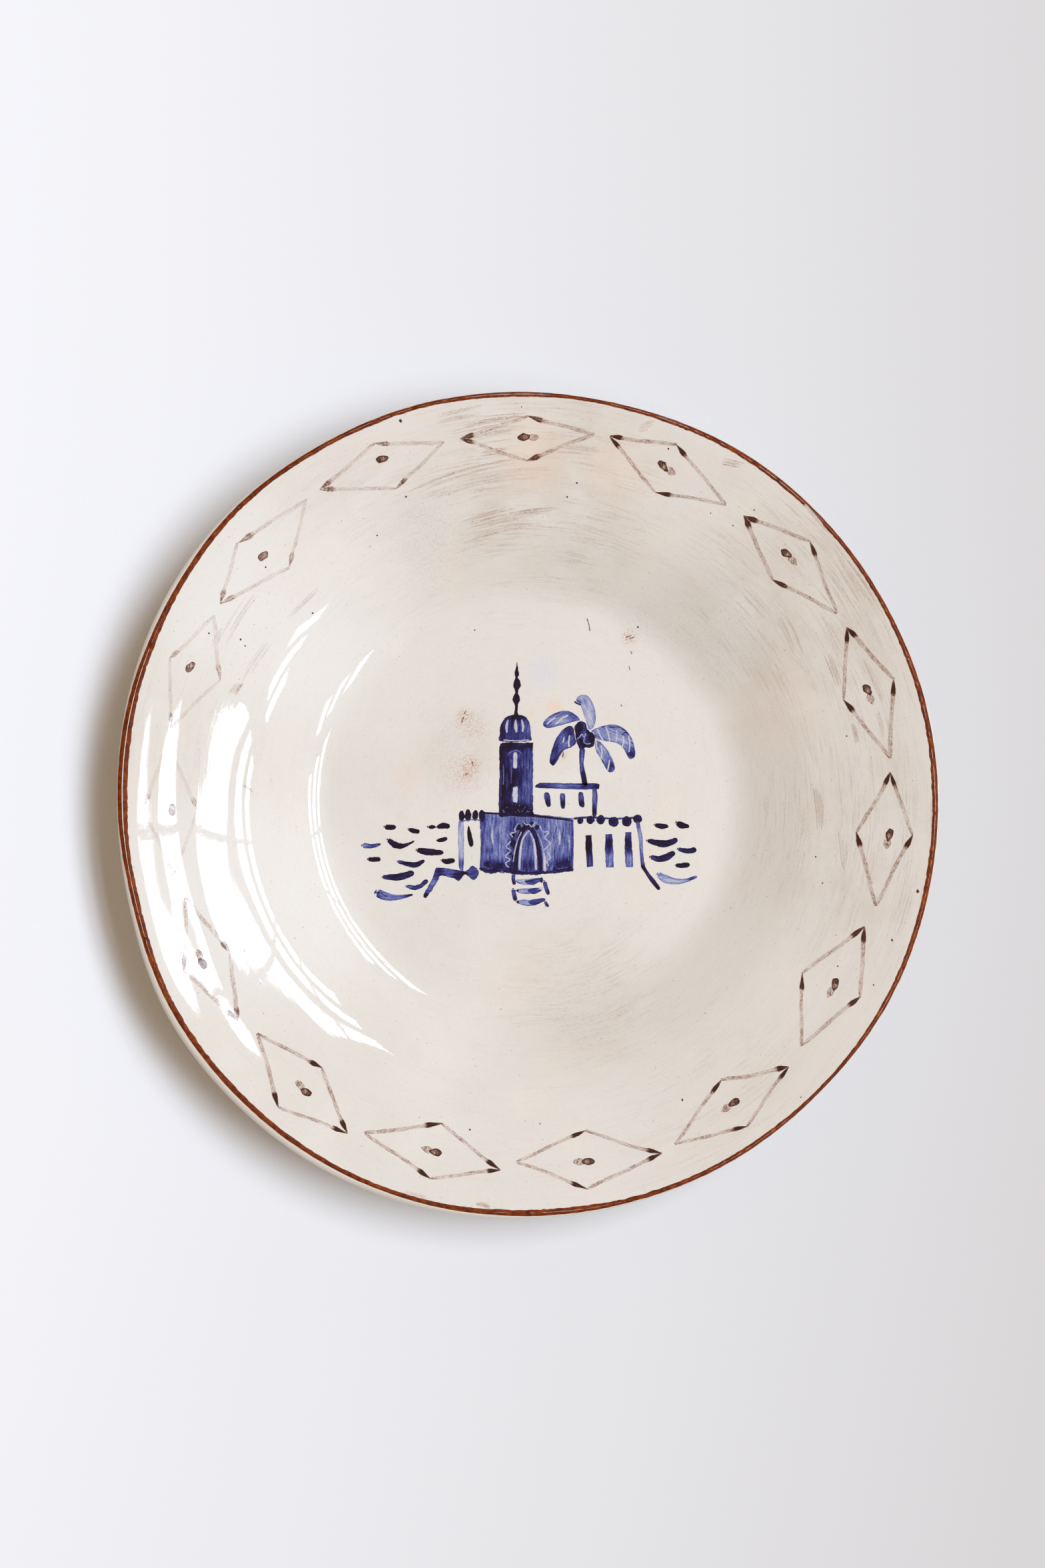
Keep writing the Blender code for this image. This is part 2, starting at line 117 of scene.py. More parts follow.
def turned_profile():
    """Height of the eating surface at each of PROFILE_R, summed from its slopes.

    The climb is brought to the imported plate's height at the lip.
    """
    radii, degrees = zip(*SLOPE)
    tilt = np.interp(PROFILE_R, radii, degrees)
    tilt = np.convolve(np.pad(tilt, 10, "edge"), np.ones(21) / 21.0, "valid")
    climb = np.cumsum(np.tan(np.radians(tilt)))
    return FLOOR_Z + (PLATE_H - FLOOR_Z) * climb / np.interp(LIP_R, PROFILE_R, climb)


PROFILE_Z = turned_profile()


def face_height(radius):
    """Turned height of the eating surface."""
    return np.interp(radius, PROFILE_R, PROFILE_Z)


def rim_share(radius):
    """How much of the lip's out-of-round a radius follows, 0 on the floor and 1 at the lip."""
    t = np.clip((np.asarray(radius, float) - 60.0) / (LIP_R - 60.0), 0.0, 1.1)
    return t * t * (1.6 - 0.6 * t)


def wander(x, y):
    """Unevenness left by the potter's hands, in height."""
    r = np.hypot(x, y)
    a = np.arctan2(y, x)
    shift = 2.2 * np.sin(a + 0.4) + 1.5 * np.sin(2 * a + 1.0)
    ripple = np.sin(TAU * (r + 1.5 * shift) / 9.0 + 2.0 * np.sin(2 * a + 1.0))
    rings = 0.022 * ripple * np.clip((r - 104.0) / 8.0, 0.0, 1.0)
    broad = 0.14 * np.sin(3 * a + r / 38.0) + 0.10 * np.sin(5 * a - r / 25.0 + 1.0)
    lumps = np.zeros_like(r)
    for k in range(9):
        turn = 2.4 * k + 0.3
        wave = 24.0 + 5.0 * k
        lumps = lumps + np.sin(TAU * (x * math.cos(turn) + y * math.sin(turn)) / wave + 1.7 * k)
    rise = np.clip((r - 66.0) / 30.0, 0.0, 1.0)
    return rise * (rings + 0.02 * lumps) + broad * np.clip((r - 80.0) / 50.0, 0.0, 1.0) ** 2


def warp(radius, angle):
    """Radius on the real, slightly uneven plate of a turned radius."""
    return radius + (around(LINE_R, angle) - LIP_R) * rim_share(radius)


def surface(x, y):
    """Height of the glazed face at points x, y."""
    r = np.hypot(x, y)
    a = np.arctan2(y, x)
    turned = r.copy()
    for _ in range(3):
        turned = r - (around(LINE_R, a) - LIP_R) * rim_share(turned)
    return face_height(turned) + wander(x, y)


# ---------------------------------------------------------------- mesh helpers


def sharpen_border(mesh):
    """Keep a film's shading flat right up to its edge."""
    edge_of = np.empty(len(mesh.loops), int)
    mesh.loops.foreach_get("edge_index", edge_of)
    uses = np.bincount(edge_of, minlength=len(mesh.edges))
    for index in np.flatnonzero(uses == 1):
        mesh.edges[index].use_edge_sharp = True


def add_mesh(name, points, faces, nodes=(), solid=None, attributes=()):
    """Make a smooth mesh from points in millimetres, and hide the imported parts that it stands for."""
    mesh = bpy.data.meshes.new(name)
    mesh.from_pydata((np.asarray(points) * MM).tolist(), [], faces)
    for key, kind, values in attributes:
        layer = mesh.attributes.new(key, kind, "POINT")
        field = "value" if kind == "FLOAT" else "vector"
        layer.data.foreach_set(field, np.asarray(values, np.float32).ravel())
    mesh.shade_smooth()
    mesh.set_sharp_from_angle(angle=math.radians(50.0))
    if solid:
        sharpen_border(mesh)
    mesh.update()
    piece = bpy.data.objects.new(name, mesh)
    bpy.context.scene.collection.objects.link(piece)
    if solid:
        backing = piece.modifiers.new("backing", "SOLIDIFY")
        backing.thickness = solid * MM
        backing.offset = -1.0
    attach(piece, "root")
    if nodes:
        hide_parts(*nodes)
    return piece


def revolve(name, rings, nodes=(), steps=480, cyclic=False):
    """Skin a list of rings, each a function of angle giving radius and height.

    Unless cyclic, the first and last ring close on a centre point at their mean height.
    """
    angles = np.arange(steps) * TAU / steps
    points = []
    for ring in rings:
        radius, height = ring(angles)
        radius = np.broadcast_to(radius, angles.shape)
        height = np.broadcast_to(height, angles.shape)
        points.append(np.stack([radius * np.cos(angles), radius * np.sin(angles), height], 1))
    faces = []
    count = len(rings)
    spans = count if cyclic else count - 1
    for k in range(spans):
        a, b = k * steps, ((k + 1) % count) * steps
        for i in range(steps):
            j = (i + 1) % steps
            faces.append((a + i, b + i, b + j, a + j))
    cloud = np.concatenate(points)
    if not cyclic:
        top, bottom = len(cloud), len(cloud) + 1
        last = (count - 1) * steps
        ends = [[0.0, 0.0, points[0][:, 2].mean()], [0.0, 0.0, points[-1][:, 2].mean()]]
        cloud = np.concatenate([cloud, ends])
        for i in range(steps):
            j = (i + 1) % steps
            faces.append((top, i, j))
            faces.append((bottom, last + j, last + i))
    return add_mesh(name, cloud, faces, nodes)


def smooth_line(points, step, closed=False):
    """Points along a Catmull-Rom curve through the given points, about step apart.

    Each point may carry more than x and y; everything is interpolated alike.
    """
    knots = np.asarray(points, float)
    count = len(knots)
    spans = count if closed else count - 1
    out = []
    for i in range(spans):
        if closed:
            a, b, c, d = (knots[(i + k) % count] for k in (-1, 0, 1, 2))
        else:
            b, c = knots[i], knots[i + 1]
            a = knots[i - 1] if i else 2 * b - c
            d = knots[i + 2] if i + 2 < count else 2 * c - b
        length = np.hypot(*(c - b)[:2])
        for t in np.arange(max(1, round(length / step))) / max(1, round(length / step)):
            out.append(b + 0.5 * t * (c - a + t * (2 * a - 5 * b + 4 * c - d
                                                    + t * (3 * (b - c) + d - a))))
    if not closed:
        out.append(knots[-1])
    return np.asarray(out)


def straight_line(points, step):
    """Points along the straight sides of a closed outline, about step apart."""
    knots = np.asarray(points, float)
    out = []
    for a, b in zip(knots, np.roll(knots, -1, axis=0)):
        count = max(1, round(np.hypot(*(b - a)) / step))
        out.extend(a + (b - a) * t for t in np.arange(count) / count)
    return np.asarray(out)


def wobble(points, size, seed):
    """Ragged hand-painted edge: points nudged by a smooth random walk along the line."""
    rng = np.random.default_rng(seed)
    noise = rng.normal(size=(len(points), 2))
    kernel = np.array([0.25, 0.5, 0.25])
    for axis in range(2):
        noise[:, axis] = np.convolve(np.tile(noise[:, axis], 3), kernel, "same")[
            len(points):2 * len(points)]
    return points + size * noise


def stroke_outline(points, step=0.3):
    """Closed outline of a brush stroke given as (x, y, width) along its middle."""
    line = smooth_line(points, step)
    middle, half = line[:, :2], np.maximum(line[:, 2] / 2, 0.12)
    ahead = np.gradient(middle, axis=0)
    ahead /= np.maximum(np.hypot(ahead[:, 0], ahead[:, 1]), 1e-9)[:, None]
    side = np.stack([-ahead[:, 1], ahead[:, 0]], 1)
    left = middle + side * half[:, None]
    right = middle - side * half[:, None]
    caps = []
    for end, way in ((-1, 1.0), (0, -1.0)):
        turn = np.linspace(math.pi / 2, -math.pi / 2, 5)[1:-1] * way
        for angle in turn:
            reach = ahead[end] * math.cos(angle) * way + side[end] * math.sin(angle) * way
            caps.append(middle[end] + reach * half[end])
    head, tail = caps[:3], caps[3:]
    return np.concatenate([left, head, right[::-1], tail])


def inside(points, outline):
    """Which points lie inside a closed outline."""
    x, y = points[:, 0], points[:, 1]
    result = np.zeros(len(points), bool)
    previous = outline[-1]
    for current in outline:
        if current[1] != previous[1]:
            crosses = (current[1] > y) != (previous[1] > y)
            at = (previous[0] - current[0]) * (y - current[1]) / (previous[1] - current[1])
            result ^= crosses & (x < at + current[0])
        previous = current
    return result


def edge_distance(points, outline):
    """Distance from each point to the nearest side of a closed outline."""
    best = np.full(len(points), 1e9)
    for a, b in zip(outline, np.roll(outline, -1, axis=0)):
        along = b - a
        size = max(along @ along, 1e-12)
        t = np.clip(((points - a) @ along) / size, 0.0, 1.0)
        gap = points - a - t[:, None] * along
        best = np.minimum(best, np.hypot(gap[:, 0], gap[:, 1]))
    return best


class Paint:
    """Thin painted film gathered into one mesh: washes of colour lying on the glaze."""

    def __init__(self):
        self.points = []
        self.faces = []
        self.ink = []
        self.grain = []
        self.layers = 0

    def add(self, xy, faces, ink, grain, lift):
        """Lay flat triangles on the plate's surface, lift above it."""
        start = sum(len(p) for p in self.points)
        height = surface(xy[:, 0], xy[:, 1]) + lift
        self.points.append(np.column_stack([xy, height]))
        self.faces.extend(tuple(start + i for i in face) for face in faces)
        self.ink.append(ink)
        self.grain.append(grain)

    def wash(self, outline, ink, blobs=(), lift=0.03, grid=0.4, pool=0.16, seed=1, turn=90):
        """Fill an outline, brushed along turn degrees.

        Blobs are (x, y, half width, half height, more ink). Each wash lies a little above
        the one before.
        """
        self.layers += 1
        lift = lift + 0.002 * self.layers
        edge = np.asarray(outline, float)
        low, high = edge.min(0), edge.max(0)
        columns = np.arange(low[0], high[0], grid)
        rows = np.arange(low[1], high[1], grid * 0.87)
        cells = np.array([
            (x + (grid / 2 if k % 2 else 0.0), y)
            for k, y in enumerate(rows) for x in columns
        ]).reshape(-1, 2)
        if len(cells):
            cells = cells[inside(cells, edge)]
        if len(cells):
            cells = cells[edge_distance(cells, edge) > grid * 0.45]
        cloud = np.concatenate([edge, cells]) if len(cells) else edge
        ring = list(range(len(edge)))
        borders = [(i, (i + 1) % len(edge)) for i in ring]
        got = delaunay_2d_cdt([Vector(p) for p in cloud], borders, [ring], 1, 1e-4)
        xy = np.array([tuple(v) for v in got[0]])
        faces = []
        for face in got[2]:
            a, b, c = (xy[i] for i in face)
            area = (b[0] - a[0]) * (c[1] - a[1]) - (b[1] - a[1]) * (c[0] - a[0])
            if abs(area) > 1e-7:
                faces.append(tuple(face) if area > 0 else tuple(reversed(face)))
        depth = edge_distance(xy, edge)
        density = ink + pool * np.exp(-depth / 0.3)
        for x, y, wide, tall, more in blobs:
            away = ((xy[:, 0] - x) / wide) ** 2 + ((xy[:, 1] - y) / tall) ** 2
            density = density + more * np.exp(-away * 0.9)
        c, s = math.cos(math.radians(turn)), math.sin(math.radians(turn))
        grain = np.column_stack([xy @ (c, s), xy @ (-s, c), np.full(len(xy), float(seed))])
        self.add(xy, faces, np.clip(density, 0.0, 1.15), grain, lift)

    def shape(self, outline, ink, seed=1, ragged=0.05, straight=False, **settings):
        """Wash inside a closed line through a few points, smooth unless straight."""
        line = straight_line(outline, 0.4) if straight else smooth_line(outline, 0.35, closed=True)
        self.wash(wobble(line, ragged, seed), ink, seed=seed, **settings)

    def stroke(self, points, ink, seed=1, ragged=0.04, **settings):
        """Wash inside one brush stroke, brushed from its first point to its last."""
        (x0, y0, _), (x1, y1, _) = points[0], points[-1]
        settings.setdefault("turn", math.degrees(math.atan2(y1 - y0, x1 - x0)))
        self.wash(wobble(stroke_outline(points), ragged, seed), ink, seed=seed, **settings)

    def finish(self, name, material, nodes=()):
        """Turn what was gathered into one piece."""
        piece = add_mesh(
            name, np.concatenate(self.points), self.faces, nodes, 0.06,
            (("ink", "FLOAT", np.concatenate(self.ink)),
             ("grain", "FLOAT_VECTOR", np.concatenate(self.grain))),
        )
        piece.data.materials.append(material)
        return piece


# ---------------------------------------------------------------- material helpers


class Graph:
    """A material's nodes, made one by one."""

    def __init__(self, name):
        self.material = bpy.data.materials.new(name)
        self.material.use_nodes = True
        self.tree = self.material.node_tree
        self.shader = self.tree.nodes["Principled BSDF"]
        self.shader.inputs["IOR"].default_value = 1.5

    def make(self, kind, inputs=(), **settings):
        node = self.tree.nodes.new(kind)
        for key, value in settings.items():
            setattr(node, key, value)
        for key, value in dict(inputs).items():
            self.put(node.inputs[key], value)
        return node

    def coat(self, base, rough, normal):
        """Give the shader its colour, roughness and bump."""
        for key, value in (("Base Color", base), ("Roughness", rough), ("Normal", normal)):
            self.put(self.shader.inputs[key], value)
        return self.material

    def put(self, socket, value):
        if isinstance(value, bpy.types.NodeSocket):
            self.tree.links.new(value, socket)
        else:
            socket.default_value = value

    def math(self, operation, a, b=0.0, c=0.0, clamp=False):
        node = self.make("ShaderNodeMath", {0: a, 1: b, 2: c}, operation=operation)
        node.use_clamp = clamp
        return node.outputs[0]

    def times(self, a, b):
        return self.math("MULTIPLY", a, b)

    def spread(self, value, low, high, to_low=0.0, to_high=1.0, smooth=False):
        node = self.make("ShaderNodeMapRange", {
            "Value": value, "From Min": low, "From Max": high,
            "To Min": to_low, "To Max": to_high,
        })
        node.clamp = True
        if smooth:
            node.interpolation_type = "SMOOTHSTEP"
        return node.outputs[0]

    def noise(self, vector, scale, detail=3.0, rough=0.55):
        node = self.make("ShaderNodeTexNoise", {
            "Vector": vector, "Scale": scale, "Detail": detail, "Roughness": rough,
        })
        return node.outputs[0]

    def scaled(self, vector, factors):
        node = self.make("ShaderNodeVectorMath", {0: vector, 1: factors}, operation="MULTIPLY")
        return node.outputs[0]

    def mix(self, share, a, b, blend="MIX"):
        node = self.make("ShaderNodeMix", data_type="RGBA", blend_type=blend)
        for socket, value in ((node.inputs[0], share), (node.inputs[6], a), (node.inputs[7], b)):
            if isinstance(value, tuple):
                value = (*value, 1.0)
            self.put(socket, value)
        return node.outputs[2]

    def ramp(self, value, stops):
        node = self.make("ShaderNodeValToRGB", {"Fac": value})
        line = node.color_ramp
        while len(line.elements) < len(stops):
            line.elements.new(0.5)
        for element, (place, colour) in zip(line.elements, stops):
            element.position = place
            element.color = (*colour, 1.0)
        return node.outputs[0]

    def bump(self, height, strength, distance, before=None):
        inputs = {"Height": height, "Strength": strength, "Distance": distance}
        if before is not None:
            inputs["Normal"] = before
        return self.make("ShaderNodeBump", inputs).outputs[0]

    def here(self):
        """Position on the plate in millimetres, and in turned terms (radius, angle)."""
        place = self.make("ShaderNodeTexCoord").outputs["Object"]
        flat = self.scaled(place, (1000.0, 1000.0, 1000.0))
        split = self.make("ShaderNodeSeparateXYZ", {0: flat})
        x, y, z = split.outputs
        radius = self.math("SQRT", self.math("ADD", self.times(x, x), self.times(y, y)))
        angle = self.math("ARCTAN2", y, x)
        turned = self.make("ShaderNodeCombineXYZ", {0: radius, 1: angle, 2: z}).outputs[0]
        return flat, turned, radius, angle


# Where the slip was brushed thin over the clay, and painted shade on the right of the flange, which turns
# from the window: centre, reach and how strongly it shows
THIN_SLIP_AND_SHADE = ((5.0, 104.0, 52.0, 0.9), (-56.0, 84.0, 46.0, 0.45), (92.0, 62.0, 58.0, 0.8),
             (112.0, -14.0, 56.0, 0.7), (20.0, -62.0, 36.0, 0.5), (-22.0, 16.0, 22.0, 0.35),
             (-100.0, 20.0, 50.0, 0.25), (70.0, -98.0, 50.0, 0.35))

PEACH = (0.80, 0.56, 0.42)
# Grey of stains, and of painted shade on the upper right of the bend
GREY_STAIN_AND_SHADE = (0.52, 0.49, 0.45)
RUST = (0.52, 0.24, 0.13)
PALE_BLUE = (0.60, 0.62, 0.72)
# Painted light: paler, cooler white for the flange on the window side
PAINTED_LIGHT_WHITE = (0.80, 0.765, 0.72)

# Small stains on the slip, with painted light and shade among them: centre, reach, strength, colour and how
# even they are
STAINS_AND_PAINTED_LIGHT = (
    (8.6, 31.6, 4.2, 0.75, PEACH, 0.5), (0.8, 29.2, 2.4, 0.55, PEACH, 0.5),
    (-39.0, 9.0, 7.0, 0.25, PEACH, 0.5), (2.0, 112.0, 17.0, 0.5, PEACH, 0.4),
    (28.0, 108.0, 16.0, 0.4, PEACH, 0.4), (-70.0, 78.0, 22.0, 0.25, PEACH, 0.4),
    (80.0, 30.0, 22.0, 0.25, PEACH, 0.4), (5.0, 43.0, 8.5, 0.4, PALE_BLUE, 0.7),
    (-20.8, 28.4, 4.0, 0.8, RUST, 0.0), (-18.4, 25.0, 7.0, 0.4, RUST, 0.0),
    (-18.6, 12.6, 4.5, 0.8, RUST, 0.0), (-20.2, 9.4, 3.0, 0.8, RUST, 0.0),
    (-21.5, 10.5, 9.0, 0.4, RUST, 0.0), (33.2, 54.5, 3.4, 1.0, RUST, 0.0),
    # The grey patches at 36, 60 and 62, 60 lie on the upper right of the bend: painted shade where it turns
    # from the window
    (11.6, 15.8, 2.2, 0.8, RUST, 0.0), (36.0, 60.0, 13.0, 0.30, GREY_STAIN_AND_SHADE, 0.2),
    (-22.0, 18.0, 16.0, 0.20, GREY_STAIN_AND_SHADE, 0.2), (20.0, -68.0, 22.0, 0.25, GREY_STAIN_AND_SHADE, 0.1),
    (18.0, 80.0, 24.0, 0.15, GREY_STAIN_AND_SHADE, 0.1), (62.0, 60.0, 30.0, 0.25, GREY_STAIN_AND_SHADE, 0.2),
    (-34.0, 84.0, 22.0, 0.45, GREY_STAIN_AND_SHADE, 0.1), (-6.0, -58.0, 20.0, 0.30, PEACH, 0.1),
    # Painted light: the left flange, facing the window, made whiter and cooler
    (-78.0, 62.0, 62.0, 0.7, PAINTED_LIGHT_WHITE, 0.9), (-92.0, -30.0, 60.0, 0.6, PAINTED_LIGHT_WHITE, 0.9),
)


def nearness(graph, flat, x, y, reach, strength):
    """Strength at a point on the floor of the plate, fading to nothing at the reach."""
    level = graph.scaled(flat, (1.0, 1.0, 0.0))
    away = graph.make("ShaderNodeVectorMath", {0: level, 1: (x, y, 0.0)}, operation="DISTANCE")
    return graph.spread(away.outputs["Value"], reach, reach * 0.2, 0.0, strength, True)


def clay_and_shade_share(graph, flat):
    """How much clay shows through the slip's brush marks at a place, with painted shade on the right of the
    flange.
    """
    total = 0.14
    for x, y, reach, strength in THIN_SLIP_AND_SHADE:
        total = graph.math("ADD", nearness(graph, flat, x, y, reach, strength), total)
    return graph.math("MINIMUM", total, 1.0)


def brushed(graph, radius, angle, lean, across, along):
    """Noise drawn out round the plate, leaning inward by lean radians a millimetre."""
    slant = graph.math("MULTIPLY_ADD", radius, lean, angle)
    drawn = {0: graph.times(radius, across), 1: graph.times(slant, along)}
    return graph.noise(graph.make("ShaderNodeCombineXYZ", drawn).outputs[0], 1.0, 5.0, 0.72)


def speckle(graph, flat, base, scale, size, rarity, strength, colour):
    """Strew round specks of uneven size and strength over a colour."""
    cells = graph.make("ShaderNodeTexVoronoi", {"Vector": flat, "Scale": scale},
                       voronoi_dimensions="2D")
    chosen = graph.make("ShaderNodeSeparateColor", {0: cells.outputs["Color"]})
    reach = graph.times(chosen.outputs[0], size)
    speck = graph.math("LESS_THAN", cells.outputs["Distance"], reach)
    faint = graph.spread(chosen.outputs[1], rarity, 1.0, 0.0, strength)
    return graph.mix(graph.times(speck, faint), base, colour)


def slip_colour(graph, flat):
    """White slip with slow patches of warmer and cooler white."""
    base = graph.ramp(graph.noise(flat, 0.022, 4.0, 0.6), (
        (0.30, (0.75, 0.70, 0.635)), (0.50, (0.725, 0.67, 0.60)), (0.72, (0.75, 0.69, 0.625)),
    ))
    warm = graph.spread(graph.noise(flat, 0.035, 3.0, 0.6), 0.60, 0.80, 0.0, 0.5)
    base = graph.mix(warm, base, (0.79, 0.68, 0.565))
    cool = graph.spread(graph.noise(flat, 0.05, 2.0, 0.5), 0.62, 0.82, 0.0, 0.4)
    return graph.mix(cool, base, (0.70, 0.70, 0.68))


def show_clay(graph, flat, radius, angle, grit, base):
    """Darken the slip where brush marks and thin clouds let the clay show; on the right of the flange the
    clouds are also painted shade.
    """
    where = clay_and_shade_share(graph, flat)
    hairs = brushed(graph, radius, angle, 0.005, 1.9, 7.0)
    broad = brushed(graph, radius, angle, 0.008, 0.16, 2.4)
    streak = graph.times(graph.spread(hairs, 0.47, 0.62, 0.0, 0.75), graph.spread(broad, 0.40, 0.58))
    streak = graph.times(streak, graph.spread(grit, 0.38, 0.60, 0.25, 1.0))
    base = graph.mix(graph.times(streak, where), base, (0.38, 0.27, 0.22))
    # Broad brown clouds: clay showing through, and painted shade on the right of the flange
    cloud = graph.spread(graph.noise(flat, 0.045, 5.0, 0.65), 0.36, 0.62, 0.05, 0.36)
    return graph.mix(graph.times(cloud, where), base, (0.53, 0.41, 0.31))


def cream(graph):
    """Colour, roughness and bump of the white slip under clear glaze."""
    flat, turned, radius, angle = graph.here()
    grit = graph.noise(flat, 1.5, 4.0, 0.75)
    base = show_clay(graph, flat, radius, angle, grit, slip_colour(graph, flat))
    for x, y, reach, strength, colour, even_share in STAINS_AND_PAINTED_LIGHT:
        spot = nearness(graph, flat, x, y, reach, strength)
        spot = graph.times(spot, graph.spread(grit, 0.47, 0.60, even_share, 1.0))
        base = graph.mix(spot, base, colour)
    base = speckle(graph, flat, base, 0.12, 0.026, 0.55, 0.8, (0.24, 0.15, 0.11))
    base = speckle(graph, flat, base, 0.40, 0.07, 0.66, 0.7, (0.33, 0.22, 0.16))
    tooth = graph.spread(graph.noise(flat, 1.1, 5.0, 0.8), 0.54, 0.66, 0.0, 0.16)
    base = graph.mix(tooth, base, (0.47, 0.39, 0.33))
    rough = graph.spread(graph.noise(flat, 0.3, 3.0, 0.6), 0.3, 0.7, 0.018, 0.040)
    brush = graph.noise(graph.scaled(turned, (0.5, 2.2, 0.0)), 1.0, 5.0, 0.6)
    orange_peel = graph.noise(flat, 0.45, 2.0, 0.5)
    normal = graph.bump(brush, 0.12, 0.00005)
    normal = graph.bump(orange_peel, 0.1, 0.00004, normal)
    return base, rough, normal, flat, turned


def glaze_material(name):
    """Cream glaze for the face."""
    graph = Graph(name)
    base, rough, normal, _, _ = cream(graph)
    return graph.coat(base, rough, normal)


def back_material(name):
    """Cream glaze for the back: more throwing rings and smears of clay showing through."""
    graph = Graph(name)
    base, rough, normal, flat, turned = cream(graph)
    rings = graph.noise(graph.scaled(turned, (0.35, 0.9, 0.0)), 1.0, 4.0, 0.6)
    base = graph.mix(graph.spread(rings, 0.52, 0.72, 0.0, 0.28), base, (0.60, 0.46, 0.36))
    split = graph.make("ShaderNodeSeparateXYZ", {0: flat})
    low = graph.spread(split.outputs[2], 3.0, 8.0, 0.55, 0.0)
    base = graph.mix(graph.times(low, graph.noise(flat, 0.08, 3.0, 0.6)), base, (0.52, 0.33, 0.21))
    return graph.coat(base, graph.math("ADD", rough, 0.06), graph.bump(rings, 0.6, 0.0003, normal))


def bare_clay(name):
    """Red earthenware, turned and unglazed."""
    graph = Graph(name)
    flat, turned, _, _ = graph.here()
    mottle = graph.noise(flat, 0.5, 5.0, 0.65)
    base = graph.ramp(mottle, ((0.28, (0.23, 0.075, 0.03)), (0.5, (0.36, 0.135, 0.06)),
                               (0.75, (0.46, 0.20, 0.10))))
    rings = graph.noise(graph.scaled(turned, (1.1, 0.5, 0.0)), 1.0, 4.0, 0.6)
    base = graph.mix(graph.spread(rings, 0.4, 0.7, 0.0, 0.35), base, (0.20, 0.07, 0.032))
    grit = graph.make("ShaderNodeTexVoronoi", {"Vector": flat, "Scale": 0.8})
    pale = graph.spread(grit.outputs["Distance"], 0.10, 0.16, 0.5, 0.0)
    base = graph.mix(pale, base, (0.62, 0.45, 0.33))
    normal = graph.bump(rings, 0.8, 0.0005)
    normal = graph.bump(graph.noise(flat, 2.2, 4.0, 0.7), 0.5, 0.00015, normal)
    return graph.coat(base, graph.spread(mottle, 0.3, 0.7, 0.78, 0.92), normal)


def lip_clay(name):
    """Red-brown clay of the lip under thin clear glaze, with pale and dark flecks."""
    graph = Graph(name)
    flat, _, _, _ = graph.here()
    mottle = graph.noise(flat, 0.5, 5.0, 0.65)
    base = graph.ramp(mottle, ((0.30, (0.075, 0.009, 0.001)), (0.46, (0.14, 0.020, 0.002)),
                               (0.60, (0.22, 0.040, 0.004)), (0.80, (0.33, 0.09, 0.012))))
    fleck = graph.noise(flat, 1.1, 4.0, 0.7)
    base = graph.mix(graph.spread(fleck, 0.68, 0.72, 0.0, 0.8), base, (0.62, 0.50, 0.40))
    dark = graph.noise(flat, 0.8, 3.0, 0.6)
    base = graph.mix(graph.spread(dark, 0.58, 0.70, 0.0, 0.7), base, (0.045, 0.010, 0.004))
    graph.shader.inputs["Specular IOR Level"].default_value = 0.22
    normal = graph.bump(graph.noise(flat, 0.9, 3.0, 0.6), 0.35, 0.00005)
    return graph.coat(base, graph.spread(mottle, 0.3, 0.7, 0.36, 0.55), normal)


BLUE = (
    (0.0, (1.0, 1.0, 1.0)), (0.10, (0.82, 0.85, 0.94)), (0.28, (0.42, 0.49, 0.83)),
    (0.46, (0.175, 0.215, 0.60)), (0.64, (0.056, 0.065, 0.335)), (0.82, (0.017, 0.012, 0.11)),
    (1.0, (0.009, 0.004, 0.022)),
)
BROWN = (
    (0.0, (1.0, 1.0, 1.0)), (0.15, (0.83, 0.75, 0.72)), (0.35, (0.58, 0.45, 0.41)),
    (0.60, (0.32, 0.18, 0.14)), (0.85, (0.10, 0.038, 0.026)), (1.0, (0.035, 0.010, 0.008)),
)


def dry_ink(graph, ink, grain):
    """Brush-dragged paint: thin ink breaks into hairs and blots, thick ink stays whole."""
    hairs = graph.noise(graph.scaled(grain, (0.5, 2.6, 1.0)), 1.0, 4.0, 0.7)
    blots = graph.noise(graph.scaled(grain, (1.6, 2.2, 1.0)), 1.0, 4.0, 0.75)
    worn = graph.spread(hairs, 0.36, 0.62, 0.35, 1.4)
    worn = graph.times(worn, graph.spread(blots, 0.38, 0.60, 0.35, 1.4))
    thick = graph.spread(ink, 0.55, 0.9)
    worn = graph.times(worn, graph.math("SUBTRACT", 1.0, thick))
    return graph.times(ink, graph.math("ADD", worn, thick))


def wet_ink(graph, ink, grain, flat):
    """Flooded paint: slightly uneven, drawn out along the brush."""
    fine = graph.noise(graph.scaled(flat, (1.0, 1.0, 0.0)), 2.0, 4.0, 0.7)
    drag = graph.noise(graph.scaled(grain, (0.22, 1.5, 1.0)), 1.0, 4.0, 0.65)
    shift = graph.math("ADD", graph.spread(fine, 0.25, 0.75, -0.12, 0.12),
                       graph.spread(drag, 0.33, 0.67, -0.17, 0.17))
    return graph.math("ADD", ink, graph.times(shift, graph.spread(ink, 0.05, 0.35)))


def ink_material(name, tints, streaky):
    """Paint under the same clear glaze: the glaze's own colour darkened by the ink."""
    graph = Graph(name)
    base, rough, normal, flat, _ = cream(graph)
    ink = graph.make("ShaderNodeAttribute", attribute_name="ink").outputs["Fac"]
    grain = graph.make("ShaderNodeAttribute", attribute_name="grain").outputs["Vector"]
    density = dry_ink(graph, ink, grain) if streaky else wet_ink(graph, ink, grain, flat)
    tint = graph.ramp(density, tints)
    return graph.coat(graph.mix(1.0, base, tint, "MULTIPLY"), rough, normal)


# ---------------------------------------------------------------- the pot


def fixed(radius, height):
    """Ring that is a true circle."""
    return lambda angle: (np.full_like(angle, radius), np.full_like(angle, height))


